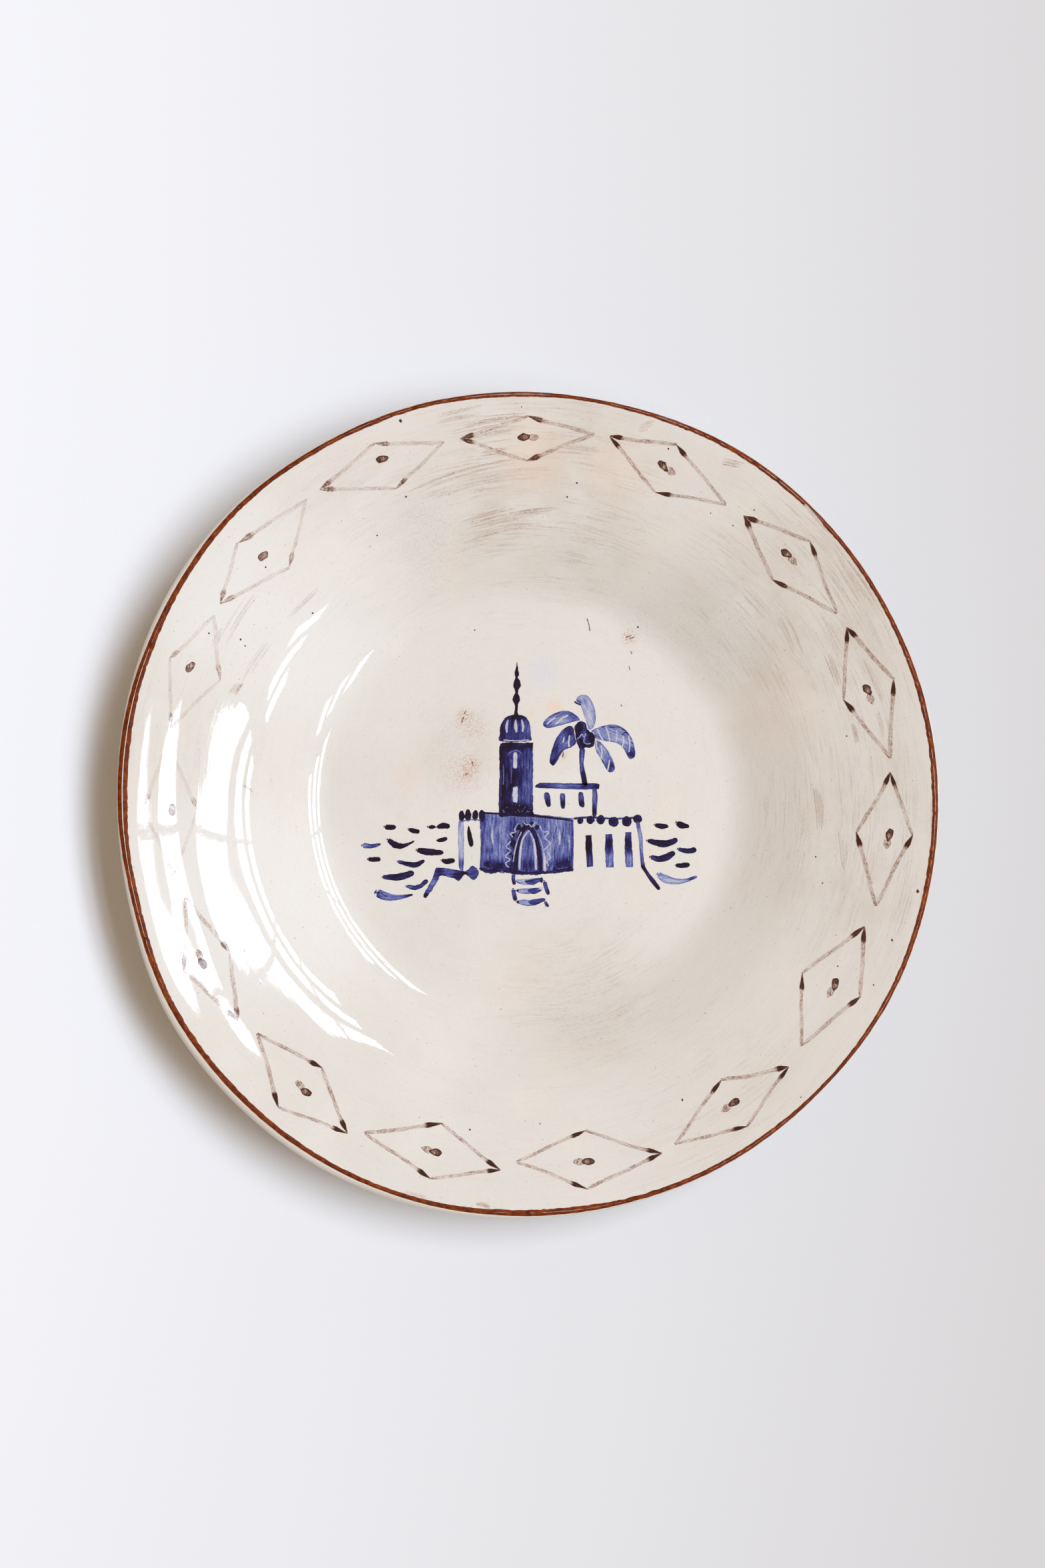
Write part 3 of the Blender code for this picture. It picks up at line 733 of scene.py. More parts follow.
def face_ring(radius, drop=0.0):
    """Ring on the eating surface."""
    def ring(angle):
        out = warp(radius, angle)
        x, y = out * np.cos(angle), out * np.sin(angle)
        return out, face_height(radius) + wander(x, y) - drop
    return ring


def lip_ring(outward, down, inset=0.0):
    """Ring round the lip: outward runs from 0 at the clay line to 1 at the outer edge."""
    def ring(angle):
        crest = around(LINE_R, angle)
        width = around(LINE_W, angle) / 2 + around(EDGE_W, angle)
        x, y = crest * np.cos(angle), crest * np.sin(angle)
        top = face_height(LIP_R) + wander(x, y)
        return crest + width * outward - inset, top - down
    return ring


def under_ring(radius, height, drop=0.0):
    """Ring on the underside, following the lip's unevenness less and less inward."""
    def ring(angle):
        out = warp(radius, angle)
        rings = 0.10 * np.sin(TAU * radius / 11.0 + 0.6 * np.sin(angle + 1.0))
        return out, height - drop + rings * (radius > 72.0)
    return ring


LIP_OUT = ((0.0, 0.0), (0.35, 0.10), (0.65, 0.40), (0.88, 0.95), (1.0, 1.75), (0.98, 2.5),
           (0.80, 3.4), (0.35, 4.2))


UNDER_LINE = smooth_line(UNDER, 1.6)


def build_face():
    """Glazed face, a closed skin with its rings closest where it bends."""
    radii = [*np.arange(1.5, 63.0, 1.7), *np.arange(63.5, 92.0, 0.55),
             *np.arange(92.3, 128.6, 1.15), 129.0, LIP_R]
    rings = [face_ring(r) for r in radii]
    rings += [face_ring(r, COAT_T) for r in reversed(radii[::8] + [LIP_R - 0.4])]
    face = revolve("face_glaze_skin", rings, ["face_coat"])
    face.data.materials.append(glaze_material("cream_glaze_face"))


def hem_ring(drop):
    """Uneven edge of the back's glaze where it stops beside the foot."""
    def ring(angle):
        edge = FOOT_R + 0.9 + 0.5 * np.sin(3 * angle + 1.0) + 0.35 * np.sin(11 * angle)
        return edge, RECESS_Z - drop + 0.0 * angle
    return ring


def build_back():
    """Glazed back, from the lip's outer edge in to the foot."""
    rings = [lip_ring(out, down) for out, down in LIP_OUT]
    rings += [under_ring(r, z, BACK_COAT_T) for r, z in UNDER_LINE[:-1]]
    rings += [hem_ring(0.75), hem_ring(0.45)]
    rings += [under_ring(r, z, 0.3) for r, z in UNDER_LINE[-2::-6]]
    rings += [lip_ring(out, down, 0.5) for out, down in reversed(LIP_OUT[1:-1])]
    back = revolve("back_glaze_skin", rings, ["back_coat"], cyclic=True)
    back.data.materials.append(back_material("cream_glaze_back"))


def base_ring(radius):
    """Turned base inside the foot ring, with a shallow spiral left by the tool."""
    def ring(angle):
        spiral = 0.09 * np.sin(TAU * radius / 3.6 + angle) * min(1.0, radius / 6.0)
        return np.full_like(angle, radius), RECESS_Z + spiral
    return ring


def build_clay():
    """Clay between the two coats, bare only inside the foot ring."""
    rings = [face_ring(r, COAT_T + 0.02) for r in np.linspace(3.0, LIP_R - 0.7, 48)]
    rings += [lip_ring(out, down + 0.5, 0.55) for out, down in LIP_OUT[1:-1:2]]
    rings += [under_ring(r, z, 0.25) for r, z in UNDER_LINE[:-1:4]]
    rings += [fixed(FOOT_R + 2.0, RECESS_Z)]
    rings += [base_ring(r) for r in np.arange(FOOT_IN + 1.0, 0.6, -0.9)]
    body = revolve("clay_body", rings, ["body"], steps=360)
    body.data.materials.append(bare_clay("bare_red_clay"))


FOOT_PROFILE = (
    (FOOT_R - 0.3, RECESS_Z + 0.6), (FOOT_R - 0.1, 2.4), (FOOT_R, 1.5), (FOOT_R - 0.25, 0.7),
    (FOOT_R - 0.9, 0.12), (FOOT_R - 1.7, 0.0), (FOOT_R - 3.0, 0.03), (FOOT_R - 4.5, 0.0),
    (FOOT_IN + 1.6, 0.0), (FOOT_IN + 0.8, 0.15), (FOOT_IN + 0.2, 0.7), (FOOT_IN, 1.5),
    (FOOT_IN + 0.1, 2.5), (FOOT_IN + 0.5, RECESS_Z + 0.4),
)


def foot_ring(radius, height):
    """Ring on the foot, chattered a little by the turning tool."""
    def ring(angle):
        chatter = 0.06 * np.sin(9 * angle + radius) + 0.04 * np.sin(23 * angle)
        return radius + chatter, np.full_like(angle, height)
    return ring


def build_foot():
    """Bare foot ring that the plate stands on."""
    foot = revolve("foot_ring_clay", [foot_ring(*p) for p in FOOT_PROFILE],
                   ["foot_ring"], steps=360, cyclic=True)
    foot.data.materials.append(bare_clay("bare_foot_clay"))


# The line is laid this many times as wide as the clay's own lip
LINE_SPREAD = 1.15


def build_bare_line():
    """Red-brown line where the clay's lip shows between the coats, with ragged edges."""
    steps = 2400
    angle = np.arange(steps) * TAU / steps
    rng = np.random.default_rng(11)

    def ragged(scale, size):
        """Closed random curve with features about scale steps long."""
        knots = rng.normal(size=max(8, steps // scale))
        return size * around(knots, angle)
    middle = around(LINE_R, angle)
    width = LINE_SPREAD * around(LINE_W, angle)
    loose = np.clip((width - 0.8) / 1.0, 0.0, 1.0)
    outer = middle + width / 2 + ragged(60, 0.07) + ragged(14, 0.02) + ragged(5, 0.03)
    inner = middle - width / 2 + ragged(50, 0.08) + ragged(16, 0.02)
    inner = inner + (0.15 + loose) * (ragged(6, 0.04) + ragged(3, 0.05))
    crest = around(LINE_R, angle)
    rim_width = width / 2 + around(EDGE_W, angle)
    shares = np.linspace(0.0, 1.0, 6)
    points = []
    place = np.array([p[0] for p in LIP_OUT[:5]])
    fall = np.array([p[1] for p in LIP_OUT[:5]])
    for share in shares:
        r = inner + (outer - inner) * share
        x, y = r * np.cos(angle), r * np.sin(angle)
        over = np.interp(np.clip((r - crest) / rim_width, 0.0, 1.0), place, fall)
        on_lip = face_height(LIP_R) + wander(crest * np.cos(angle), crest * np.sin(angle)) - over
        height = np.where(r < crest, surface(x, y), on_lip)
        points.append(np.stack([x, y, height + 0.03], 1))
    faces = []
    for k in range(len(shares) - 1):
        for i in range(steps):
            j = (i + 1) % steps
            faces.append((k * steps + i, (k + 1) * steps + i, (k + 1) * steps + j, k * steps + j))
    line = add_mesh("bare_lip_line", np.concatenate(points), faces, solid=0.1)
    line.data.materials.append(lip_clay("glazed_red_clay"))


# ---------------------------------------------------------------- brown painting

# Left, outer, right and inner corner, dot and the brush's second touch, each as azimuth in degrees and
# radius, then how strongly the diamond is painted. The low strengths of diamonds 5 to 9, on the left
# where the window's reflection falls, are painted highlight: paler paint standing in for the glare over them.
DIAMONDS = (
    ((7.2, 116.5), (18.8, 123.0), (29.0, 116.4), (18.3, 106.4), (18.7, 114.4), (15.8, 114.7), 1.0),
    ((31.7, 116.0), (43.0, 122.8), (53.2, 115.0), (42.6, 106.3), (44.2, 114.9), (41.0, 115.0), 0.95),
    ((56.5, 114.8), (67.5, 123.7), (77.4, 120.0), (67.8, 107.8), (68.3, 116.3), (66.3, 115.4), 1.0),
    ((79.8, 119.8), (90.0, 123.5), (100.5, 118.5), (90.3, 109.7), (90.7, 117.0), (89.0, 117.0), 0.85),
    # Painted highlight: the next five are paler where the window's reflection falls
    ((103.0, 118.5), (113.0, 124.7), (123.5, 120.0), (112.7, 109.3), (113.0, 119.4), (111.3, 118.8), 0.6),
    ((126.0, 120.0), (138.0, 124.2), (147.0, 117.0), (135.3, 107.5), (137.0, 115.8), (134.2, 116.2), 0.5),
    ((149.0, 116.8), (158.0, 123.0), (168.0, 116.5), (158.0, 106.3), (158.0, 116.3), (155.6, 116.0), 0.38),
    ((170.5, 116.5), (180.5, 122.5), (191.5, 115.3), (181.0, 105.5), (181.0, 113.6), (178.8, 113.6), 0.3),
    ((195.3, 113.3), (206.0, 121.8), (216.8, 115.6), (206.5, 106.5), (206.2, 115.6), (203.6, 115.2), 0.72),
    ((220.3, 113.2), (230.5, 124.8), (241.3, 119.6), (232.0, 107.0), (232.5, 115.9), (229.2, 115.2), 1.0),
    ((243.6, 117.2), (255.5, 123.1), (265.7, 117.0), (255.0, 105.9), (255.3, 115.0), (252.6, 114.8), 1.0),
    ((268.2, 114.3), (278.8, 123.9), (291.0, 119.3), (280.0, 106.1), (279.7, 115.7), (277.4, 115.1), 1.0),
    ((293.4, 118.2), (304.2, 124.0), (314.8, 117.9), (305.0, 107.8), (304.8, 115.8), (302.2, 116.0), 1.0),
    ((318.5, 116.5), (330.0, 122.2), (340.0, 114.5), (328.3, 103.3), (329.8, 113.7), (326.6, 114.0), 0.95),
    ((343.7, 115.8), (355.5, 122.8), (365.0, 116.2), (355.2, 105.7), (355.3, 115.9), (353.0, 115.3), 1.0),
)

# Smears left by the brush that laid the slip: azimuth and radius at each end, width, ink
SMEARS = (
    ((90.5, 123.4), (96.5, 123.2), 1.5, 0.22), ((91.0, 122.2), (102.0, 120.6), 1.8, 0.20),
    ((91.5, 120.8), (101.0, 118.6), 1.6, 0.16), ((92.0, 117.6), (99.5, 116.4), 1.5, 0.10),
    ((93.0, 113.6), (97.5, 113.2), 1.2, 0.18), ((92.0, 109.8), (111.5, 106.0), 1.3, 0.14),
    ((86.0, 106.6), (104.0, 104.6), 2.4, 0.07), ((84.5, 95.0), (97.0, 92.4), 1.1, 0.20),
    ((91.5, 94.6), (103.0, 91.8), 1.8, 0.12), ((88.0, 91.6), (104.0, 88.4), 2.2, 0.10),
    ((96.0, 126.4), (103.5, 125.6), 1.6, 0.14), ((29.5, 127.4), (38.0, 127.2), 1.2, 0.16),
    ((42.5, 128.2), (48.0, 129.0), 1.0, 0.14), ((20.0, 106.8), (27.5, 107.4), 1.3, 0.14),
    ((10.2, 107.1), (14.2, 107.0), 0.8, 0.22), ((15.5, 118.0), (24.0, 117.5), 1.0, 0.12),
    ((10.5, 116.0), (15.0, 115.6), 0.9, 0.12), ((31.0, 124.8), (39.0, 125.2), 1.4, 0.08),
    ((28.0, 99.4), (37.0, 101.8), 1.8, 0.08), ((57.5, 127.6), (60.5, 125.6), 1.6, 0.22),
    ((71.5, 127.2), (73.5, 125.2), 1.8, 0.14), ((133.5, 96.2), (143.0, 97.2), 0.9, 0.13),
    ((157.0, 99.6), (159.6, 100.6), 0.6, 0.30), ((157.0, 100.6), (160.0, 101.6), 0.7, 0.16),
    ((142.0, 110.4), (152.5, 110.2), 1.6, 0.08), ((150.0, 112.4), (153.5, 111.6), 1.4, 0.14),
    ((148.0, 98.0), (157.0, 99.6), 1.2, 0.07), ((176.2, 92.0), (177.6, 88.6), 0.4, 0.35),
    ((355.0, 94.6), (363.5, 93.0), 1.2, 0.10), ((78.0, 114.8), (85.0, 114.2), 1.5, 0.10),
    ((252.0, 129.4), (256.0, 129.2), 0.9, 0.12), ((262.5, 127.6), (265.0, 128.4), 0.7, 0.20),
    ((200.2, 106.8), (203.0, 107.2), 2.0, 0.07), ((348.0, 103.6), (355.0, 100.6), 1.2, 0.07),
)

# Dark specks: azimuth, radius, size
SPECKS = (
    (12.0, 104.5, 0.45), (52.4, 118.3, 0.4), (53.6, 110.6, 0.4), (57.8, 109.9, 0.35),
    (81.3, 104.1, 0.5), (82.7, 99.4, 0.5), (111.6, 105.9, 0.5), (68.4, 121.6, 0.5),
    (90.9, 126.2, 0.35), (108.4, 128.2, 0.8), (119.3, 98.9, 0.45), (137.9, 112.9, 0.5),
    (138.4, 92.6, 0.55), (150.2, 106.0, 0.5), (150.8, 103.8, 0.4), (151.8, 115.5, 0.45),
    (207.4, 102.4, 0.4), (259.9, 105.9, 0.5), (272.2, 102.6, 0.35), (297.6, 106.9, 0.6),
    (313.0, 127.2, 0.4), (347.4, 126.9, 0.8), (339.5, 123.7, 0.6), (332.4, 124.1, 0.4),
    (332.4, 111.8, 0.4), (345.0, 98.1, 0.4), (349.6, 94.2, 0.4), (107.0, 59.3, 0.4),
    (58.0, 68.0, 0.5),
)

# Short rusty scratches in the slip, as points on the plate
SCRATCHES = (
    ((19.5, 60.4), (20.0, 58.6), (20.3, 56.6)), ((33.7, 49.8), (34.1, 49.0)),
    ((33.2, 44.9), (33.4, 43.8)), ((30.5, 32.3), (30.8, 31.9)), ((-21.6, 26.4), (-21.0, 28.2)),
    ((-20.6, 29.4), (-20.2, 30.2)), ((-18.2, 13.6), (-17.7, 12.4)), ((-20.4, 9.2), (-19.8, 9.8)),
    ((32.2, 54.4), (33.6, 54.9)), ((33.4, 54.0), (34.6, 54.3)), ((11.7, 16.6), (11.5, 15.2)),
)


def on_plate(azimuth, radius):
    """Plan position of a point given by azimuth and radius."""
    angle = math.radians(azimuth)
    return radius * math.cos(angle), radius * math.sin(angle)


def dry_stroke(paint, start, end, width, level, rng, bulge=0.0, lift=0.03):
    """One drag of a loaded brush: faint and streaky, pooling near its end, thin tip."""
    (ax, ay), (bx, by) = start, end
    length = math.hypot(bx - ax, by - ay)
    count = max(8, int(length / 0.45))
    t = np.linspace(0.0, 1.0, count)
    ahead = np.array([bx - ax, by - ay]) / length
    side = np.array([-ahead[1], ahead[0]])
    bow = bulge * np.sin(math.pi * t) + 0.12 * np.sin(TAU * t * 1.3 + rng.uniform(0, 6))
    middle = np.array([ax, ay]) + t[:, None] * (length * ahead) + bow[:, None] * side
    start_pool = rng.uniform(0.75, 0.80)
    pooled = np.clip((t - start_pool) / 0.05, 0.0, 1.0)
    to_tip = np.clip((t - start_pool - 0.09) / (0.91 - start_pool), 0.0, 1.0)
    half = width / 2 * (0.6 + 0.4 * np.clip(t / 0.1, 0.0, 1.0)) * (1.0 + 0.35 * pooled)
    half = half * (1.0 - 0.82 * to_tip) * (1 + 0.08 * np.sin(TAU * t * 4 + rng.uniform(0, 6)))
    trail = 0.30 + 0.08 * np.sin(TAU * t * rng.uniform(1.0, 2.2) + rng.uniform(0, 6))
    trail = trail + 0.20 * np.exp(-(t / 0.06) ** 2)
    ink = trail + (1.05 - trail) * pooled
    ink = ink - 0.25 * np.clip((to_tip - 0.45) / 0.5, 0.0, 1.0)
    ink = ink * level
    ribbon(paint, middle, side, half, ink, rng, lift)


def ribbon(paint, middle, side, half, ink, rng, lift):
    """Lay a strip of film along a line, fading at its two long edges."""
    lanes = np.array([-1.0, -0.72, -0.3, 0.0, 0.3, 0.72, 1.0])
    fade = np.array([0.25, 0.95, 0.9, 0.85, 0.9, 0.95, 0.25])
    count, wide = len(middle), len(lanes)
    xy = middle[:, None, :] + (lanes[None, :, None] * half[:, None, None]) * side
    seed = rng.uniform(0.0, 500.0)
    step = np.hypot(*np.diff(middle, axis=0).T)
    along = np.concatenate([[0.0], np.cumsum(step)])
    grain = np.stack([
        np.repeat(along + seed, wide), (lanes[None, :] * half[:, None]).ravel(),
        np.full(count * wide, seed * 0.37),
    ], 1)
    faces = []
    for i in range(count - 1):
        for k in range(wide - 1):
            a = i * wide + k
            faces.append((a, a + wide, a + wide + 1, a + 1))
    density = (ink[:, None] * fade[None, :]).ravel()
    paint.add(xy.reshape(-1, 2), faces, density, grain, lift)


def drag_hair(paint, start, end, width, ink, rng):
    """One bristle's mark inside a smear, somewhere across its width and along its length."""
    low, high = sorted(rng.uniform(0.0, 1.0, 2) * 0.35)
    first, last = low, 1.0 - (0.35 - high)
    steps = max(8, int(abs(end[0] - start[0]) * 3.0))
    share = np.linspace(first, last, steps)
    azimuth = start[0] + (end[0] - start[0]) * share
    offset = width * rng.uniform(-0.9, 0.9)
    radius = start[1] + (end[1] - start[1]) * share + offset
    line = np.array([on_plate(a, r) for a, r in zip(azimuth, radius)])
    ahead = np.gradient(line, axis=0)
    ahead /= np.hypot(ahead[:, 0], ahead[:, 1])[:, None]
    side = np.stack([-ahead[:, 1], ahead[:, 0]], 1)[:, None, :]
    fall = np.sin(math.pi * np.linspace(0.06, 0.94, steps)) ** 0.5
    half = rng.uniform(0.12, 0.38) * fall
    level = ink * rng.uniform(0.7, 1.7) * fall
    ribbon(paint, line, side, half, level, rng, 0.02 + 0.0004 * len(paint.points))


def leaf(x, y, tilt, along, across, rng):
    """Uneven pointed blob left by pressing the brush, pointing along tilt."""
    outline = []
    for k in range(12):
        angle = TAU * k / 12
        point = 1.0 + 0.35 * max(0.0, math.cos(angle)) ** 3
        u = along * math.cos(angle) * point * rng.uniform(0.88, 1.1)
        v = across * math.sin(angle) * rng.uniform(0.85, 1.12)
        outline.append((x + u * math.cos(tilt) - v * math.sin(tilt),
                        y + u * math.sin(tilt) + v * math.cos(tilt)))
    return outline


def paint_dot(paint, dot, second, level, number, rng):
    """Dot in a diamond's middle, and beside a strong one the brush's second touch."""
    x, y = on_plate(*dot)
    gx, gy = on_plate(*second)
    back = math.atan2(gy - y, gx - x)
    if level > 0.6:
        reach = min(math.hypot(gx - x, gy - y), 3.0)
        gx, gy = x + reach * math.cos(back), y + reach * math.sin(back)
        tip = (gx + 0.6 * math.cos(back), gy + 0.6 * math.sin(back), 0.8, 0.8, 0.25)
        paint.shape(leaf(gx, gy, back, 1.6, 1.05, rng), 0.22, number + 20, lift=0.042,
                    pool=0.20, blobs=(tip,))
        link = [(gx, gy, 1.2), ((gx + x) / 2, (gy + y) / 2, 0.9), (x, y, 1.2)]
        paint.stroke(link, 0.16, number + 40, lift=0.038, pool=0.10)
    strength = 0.80 if level > 0.55 else 0.66
    tilt = back + rng.uniform(-0.3, 0.3)
    hollow = (x + 0.7 * math.cos(tilt), y + 0.7 * math.sin(tilt), 0.6, 0.6, -0.30)
    paint.shape(leaf(x, y, tilt, 1.75, 1.15, rng), strength, number, lift=0.045, pool=0.14,
                blobs=(hollow,))


def build_diamonds(brown):
    """Fifteen diamonds of four strokes each, with a dot in the middle."""
    for number, (*corners, dot, second, level) in enumerate(DIAMONDS, start=1):
        rng = np.random.default_rng(100 + number)
        left, outer, right, inner = (np.array(on_plate(*point)) for point in corners)
        sides = ((left, outer, 0.15), (outer, right, 0.1), (inner, right, -0.3),
                 (left, inner, -0.1))
        paint = Paint()
        for k, (start, end, bulge) in enumerate(sides):
            width = rng.uniform(1.05, 1.35)
            bow = bulge * rng.uniform(0.0, 2.0)
            dry_stroke(paint, start, end, width, level, rng, bow, 0.03 + 0.004 * k)
        paint_dot(paint, dot, second, level, number, rng)
        paint.finish(f"diamond_{number:02d}_paint", brown,
                     [f"diamond_{number:02d}", f"dot_{number:02d}"])


def build_smears(brown):
    """Marks of the brush that laid the slip."""
    paint = Paint()
    rng = np.random.default_rng(7)
    for start, end, width, ink in SMEARS:
        for _ in range(2 + round(width * 2.5)):
            drag_hair(paint, start, end, width, ink, rng)
    paint.finish("slip_brush_smears", brown)


def build_specks(brown):
    """Dark specks and short rusty scratches."""
    paint = Paint()
    for number, (azimuth, radius, size) in enumerate(SPECKS):
        x, y = on_plate(azimuth, radius)
        rng = np.random.default_rng(number)
        spot = [(x + size * rng.uniform(0.4, 0.7) * math.cos(a),
                 y + size * rng.uniform(0.4, 0.9) * math.sin(a))
                for a in np.linspace(0, TAU, 8)[:-1]]
        paint.shape(spot, 0.85, number, ragged=0.0, pool=0.0, lift=0.05, grid=0.3)
    for number, line in enumerate(SCRATCHES):
        paint.stroke(even(line, 0.32), 0.62, 200 + number, ragged=0.05, pool=0.0, lift=0.02)
    paint.finish("kiln_specks", brown)


# ---------------------------------------------------------------- blue painting

# Down the middle of the finial, with its width
FINIAL = (
    (-3.5, 46.1, 0.2), (-3.5, 44.0, 0.9), (-3.6, 42.4, 1.5), (-3.6, 41.1, 0.8), (-3.5, 40.0, 2.1),
    (-3.5, 38.4, 2.4), (-3.6, 37.1, 1.2), (-3.6, 36.2, 0.9), (-3.7, 35.0, 2.1), (-3.7, 33.7, 2.5),
    (-3.7, 32.6, 1.3), (-3.7, 31.2, 0.9), (-3.8, 29.8, 1.1), (-3.8, 28.4, 2.0),
)
DOME = (
    (-3.7, 29.0), (-5.6, 28.9), (-7.4, 28.0), (-8.8, 25.6), (-9.1, 23.0), (-8.7, 20.4),
    (0.6, 20.5), (0.9, 22.6), (0.9, 25.2), (0.0, 27.6), (-1.6, 28.8),
)
TOWER = (
    (-8.9, 19.6), (-9.3, 18.4), (-9.2, 10.0), (-9.5, 0.0), (-9.4, -3.2), (1.8, -3.6),
    (1.7, 4.0), (1.8, 12.0), (1.7, 19.7),
)
GATEHOUSE = (
    (-15.7, -2.9), (-15.4, -12.0), (-15.3, -21.8), (-13.4, -22.4), (-11.2, -22.0),
    (-8.6, -22.7), (-6.4, -22.4), (-4.6, -23.2), (-1.0, -23.3), (3.0, -23.2), (6.0, -22.7),
    (9.0, -22.9), (12.0, -22.2), (14.8, -22.1), (14.7, -14.0), (14.9, -4.8), (9.0, -4.2),
    (3.2, -3.6), (-9.4, -3.0),
)
GATE_ARCH = (
    (0.2, -7.9), (-2.0, -11.0), (-3.1, -15.0), (-3.5, -21.5), (3.4, -21.5), (3.3, -15.0),
    (2.4, -11.0),
)
LEFT_POST = ((-22.6, -6.0), (-22.6, -18.0), (-22.3, -21.2), (-21.0, -21.2), (-21.0, -6.0))
LEFT_SLIT = ((-19.2, -7.3), (-19.8, -9.5), (-19.3, -13.2), (-18.3, -14.2), (-17.8, -12.6))
SHORE = (
    (-34.0, -29.8), (-33.3, -30.9), (-32.6, -30.2), (-29.3, -25.2), (-28.5, -23.6),
    (-24.3, -24.4), (-22.4, -25.4), (-20.4, -23.2), (-17.7, -25.0), (-16.2, -23.4),
    (-16.1, -22.0), (-17.2, -20.8), (-18.3, -20.4), (-20.4, -22.0), (-24.6, -21.5),
    (-28.8, -20.9), (-30.1, -21.3), (-31.2, -24.6),
)
HOUSE_ROOF = (
    (2.4, 5.6), (3.4, 5.1), (9.0, 4.9), (18.3, 4.6), (20.9, 4.7), (23.0, 4.7),
    (23.4, 5.5), (22.7, 6.6), (15.0, 6.6), (5.0, 6.8), (3.4, 6.5),
)
HOUSE_WINDOWS = (
    ((5.3, 2.8), (6.1, -0.6), (7.0, -1.1), (7.6, -0.3), (7.1, 3.1), (6.2, 3.7)),
    ((10.6, 2.9), (10.9, -1.1), (11.5, -1.6), (12.2, -1.2), (12.2, 2.8), (11.4, 3.3)),
    ((16.6, 3.3), (16.8, -0.3), (17.8, -1.2), (18.6, -0.7), (18.1, 3.1), (17.3, 3.8)),
)
WALL_WINDOWS = (
    ((19.0, -10.4), (18.9, -14.0), (19.4, -20.7), (21.5, -20.5), (21.1, -15.0), (20.9, -10.2)),
    ((25.4, -10.0), (25.3, -15.0), (25.6, -20.9), (28.1, -20.8), (28.0, -15.5), (27.6, -10.0)),
    ((31.9, -9.4), (31.7, -15.0), (32.0, -20.8), (34.5, -20.7), (34.2, -15.0), (33.8, -9.2)),
)
RIGHT_DOTS = ((17.2, -5.6, 1.05), (20.5, -5.4, 1.35), (23.9, -5.3, 1.45), (28.1, -5.9, 1.6),
              (32.4, -5.9, 1.65), (36.0, -5.0, 1.4))
LEFT_MERLONS = ((-21.6, -4.0, 1.0, 1.75), (-19.5, -3.9, 1.1, 1.9), (-17.1, -3.85, 0.95, 1.75),
                (-14.95, -4.1, 1.1, 1.95))
PALM_TRUNK = (
    (17.0, 17.7), (17.0, 12.0), (17.3, 9.4), (18.0, 6.4), (19.5, 6.2), (18.9, 10.0),
    (18.3, 13.0), (18.7, 17.7),
)
PALM_CROWN = (
    (15.3, 25.0), (15.8, 22.0), (16.3, 19.5), (17.3, 17.6), (18.9, 18.3), (20.5, 18.3),
    (21.7, 19.2), (22.0, 21.6), (21.2, 23.1), (19.7, 23.9), (18.9, 26.4), (17.5, 26.9),
    (16.3, 26.5),
)
FROND_TOP = (
    (19.4, 26.1), (20.0, 24.3), (21.5, 25.0), (22.3, 28.0), (21.6, 32.0), (19.6, 35.2),
    (17.2, 35.4), (15.8, 33.8), (17.2, 32.4), (18.2, 29.6),
)
FROND_LEFT = (
    (5.0, 26.2), (6.4, 24.7), (10.5, 25.5), (13.6, 26.4), (16.1, 27.0), (17.0, 27.5),
    (15.2, 29.4), (12.8, 30.3), (9.8, 29.9), (7.0, 28.5),
)
FROND_LOWER_LEFT = (
    (13.6, 25.4), (11.4, 24.0), (9.4, 21.4), (8.0, 17.8), (7.2, 14.0), (8.2, 12.4),
    (9.6, 13.8), (11.6, 17.2), (14.2, 18.4), (15.8, 19.8), (15.4, 22.0), (14.9, 24.7),
)
FROND_RIGHT = (
    (20.8, 23.8), (21.7, 23.1), (22.4, 21.2), (25.4, 20.5), (28.4, 20.0), (31.0, 18.5),
    (33.0, 15.0), (34.2, 14.7), (35.2, 16.0), (34.6, 19.6), (33.4, 22.4), (31.4, 24.6),
    (28.8, 25.7), (26.0, 25.7), (23.4, 25.0),
)
FROND_LOWER_RIGHT = (
    (22.3, 20.6), (22.1, 18.9), (22.4, 17.2), (24.0, 14.4), (25.2, 12.2), (26.4, 10.4),
    (27.6, 10.3), (28.5, 11.2), (28.2, 13.2), (27.0, 16.0), (25.4, 18.4), (23.6, 20.2),
)

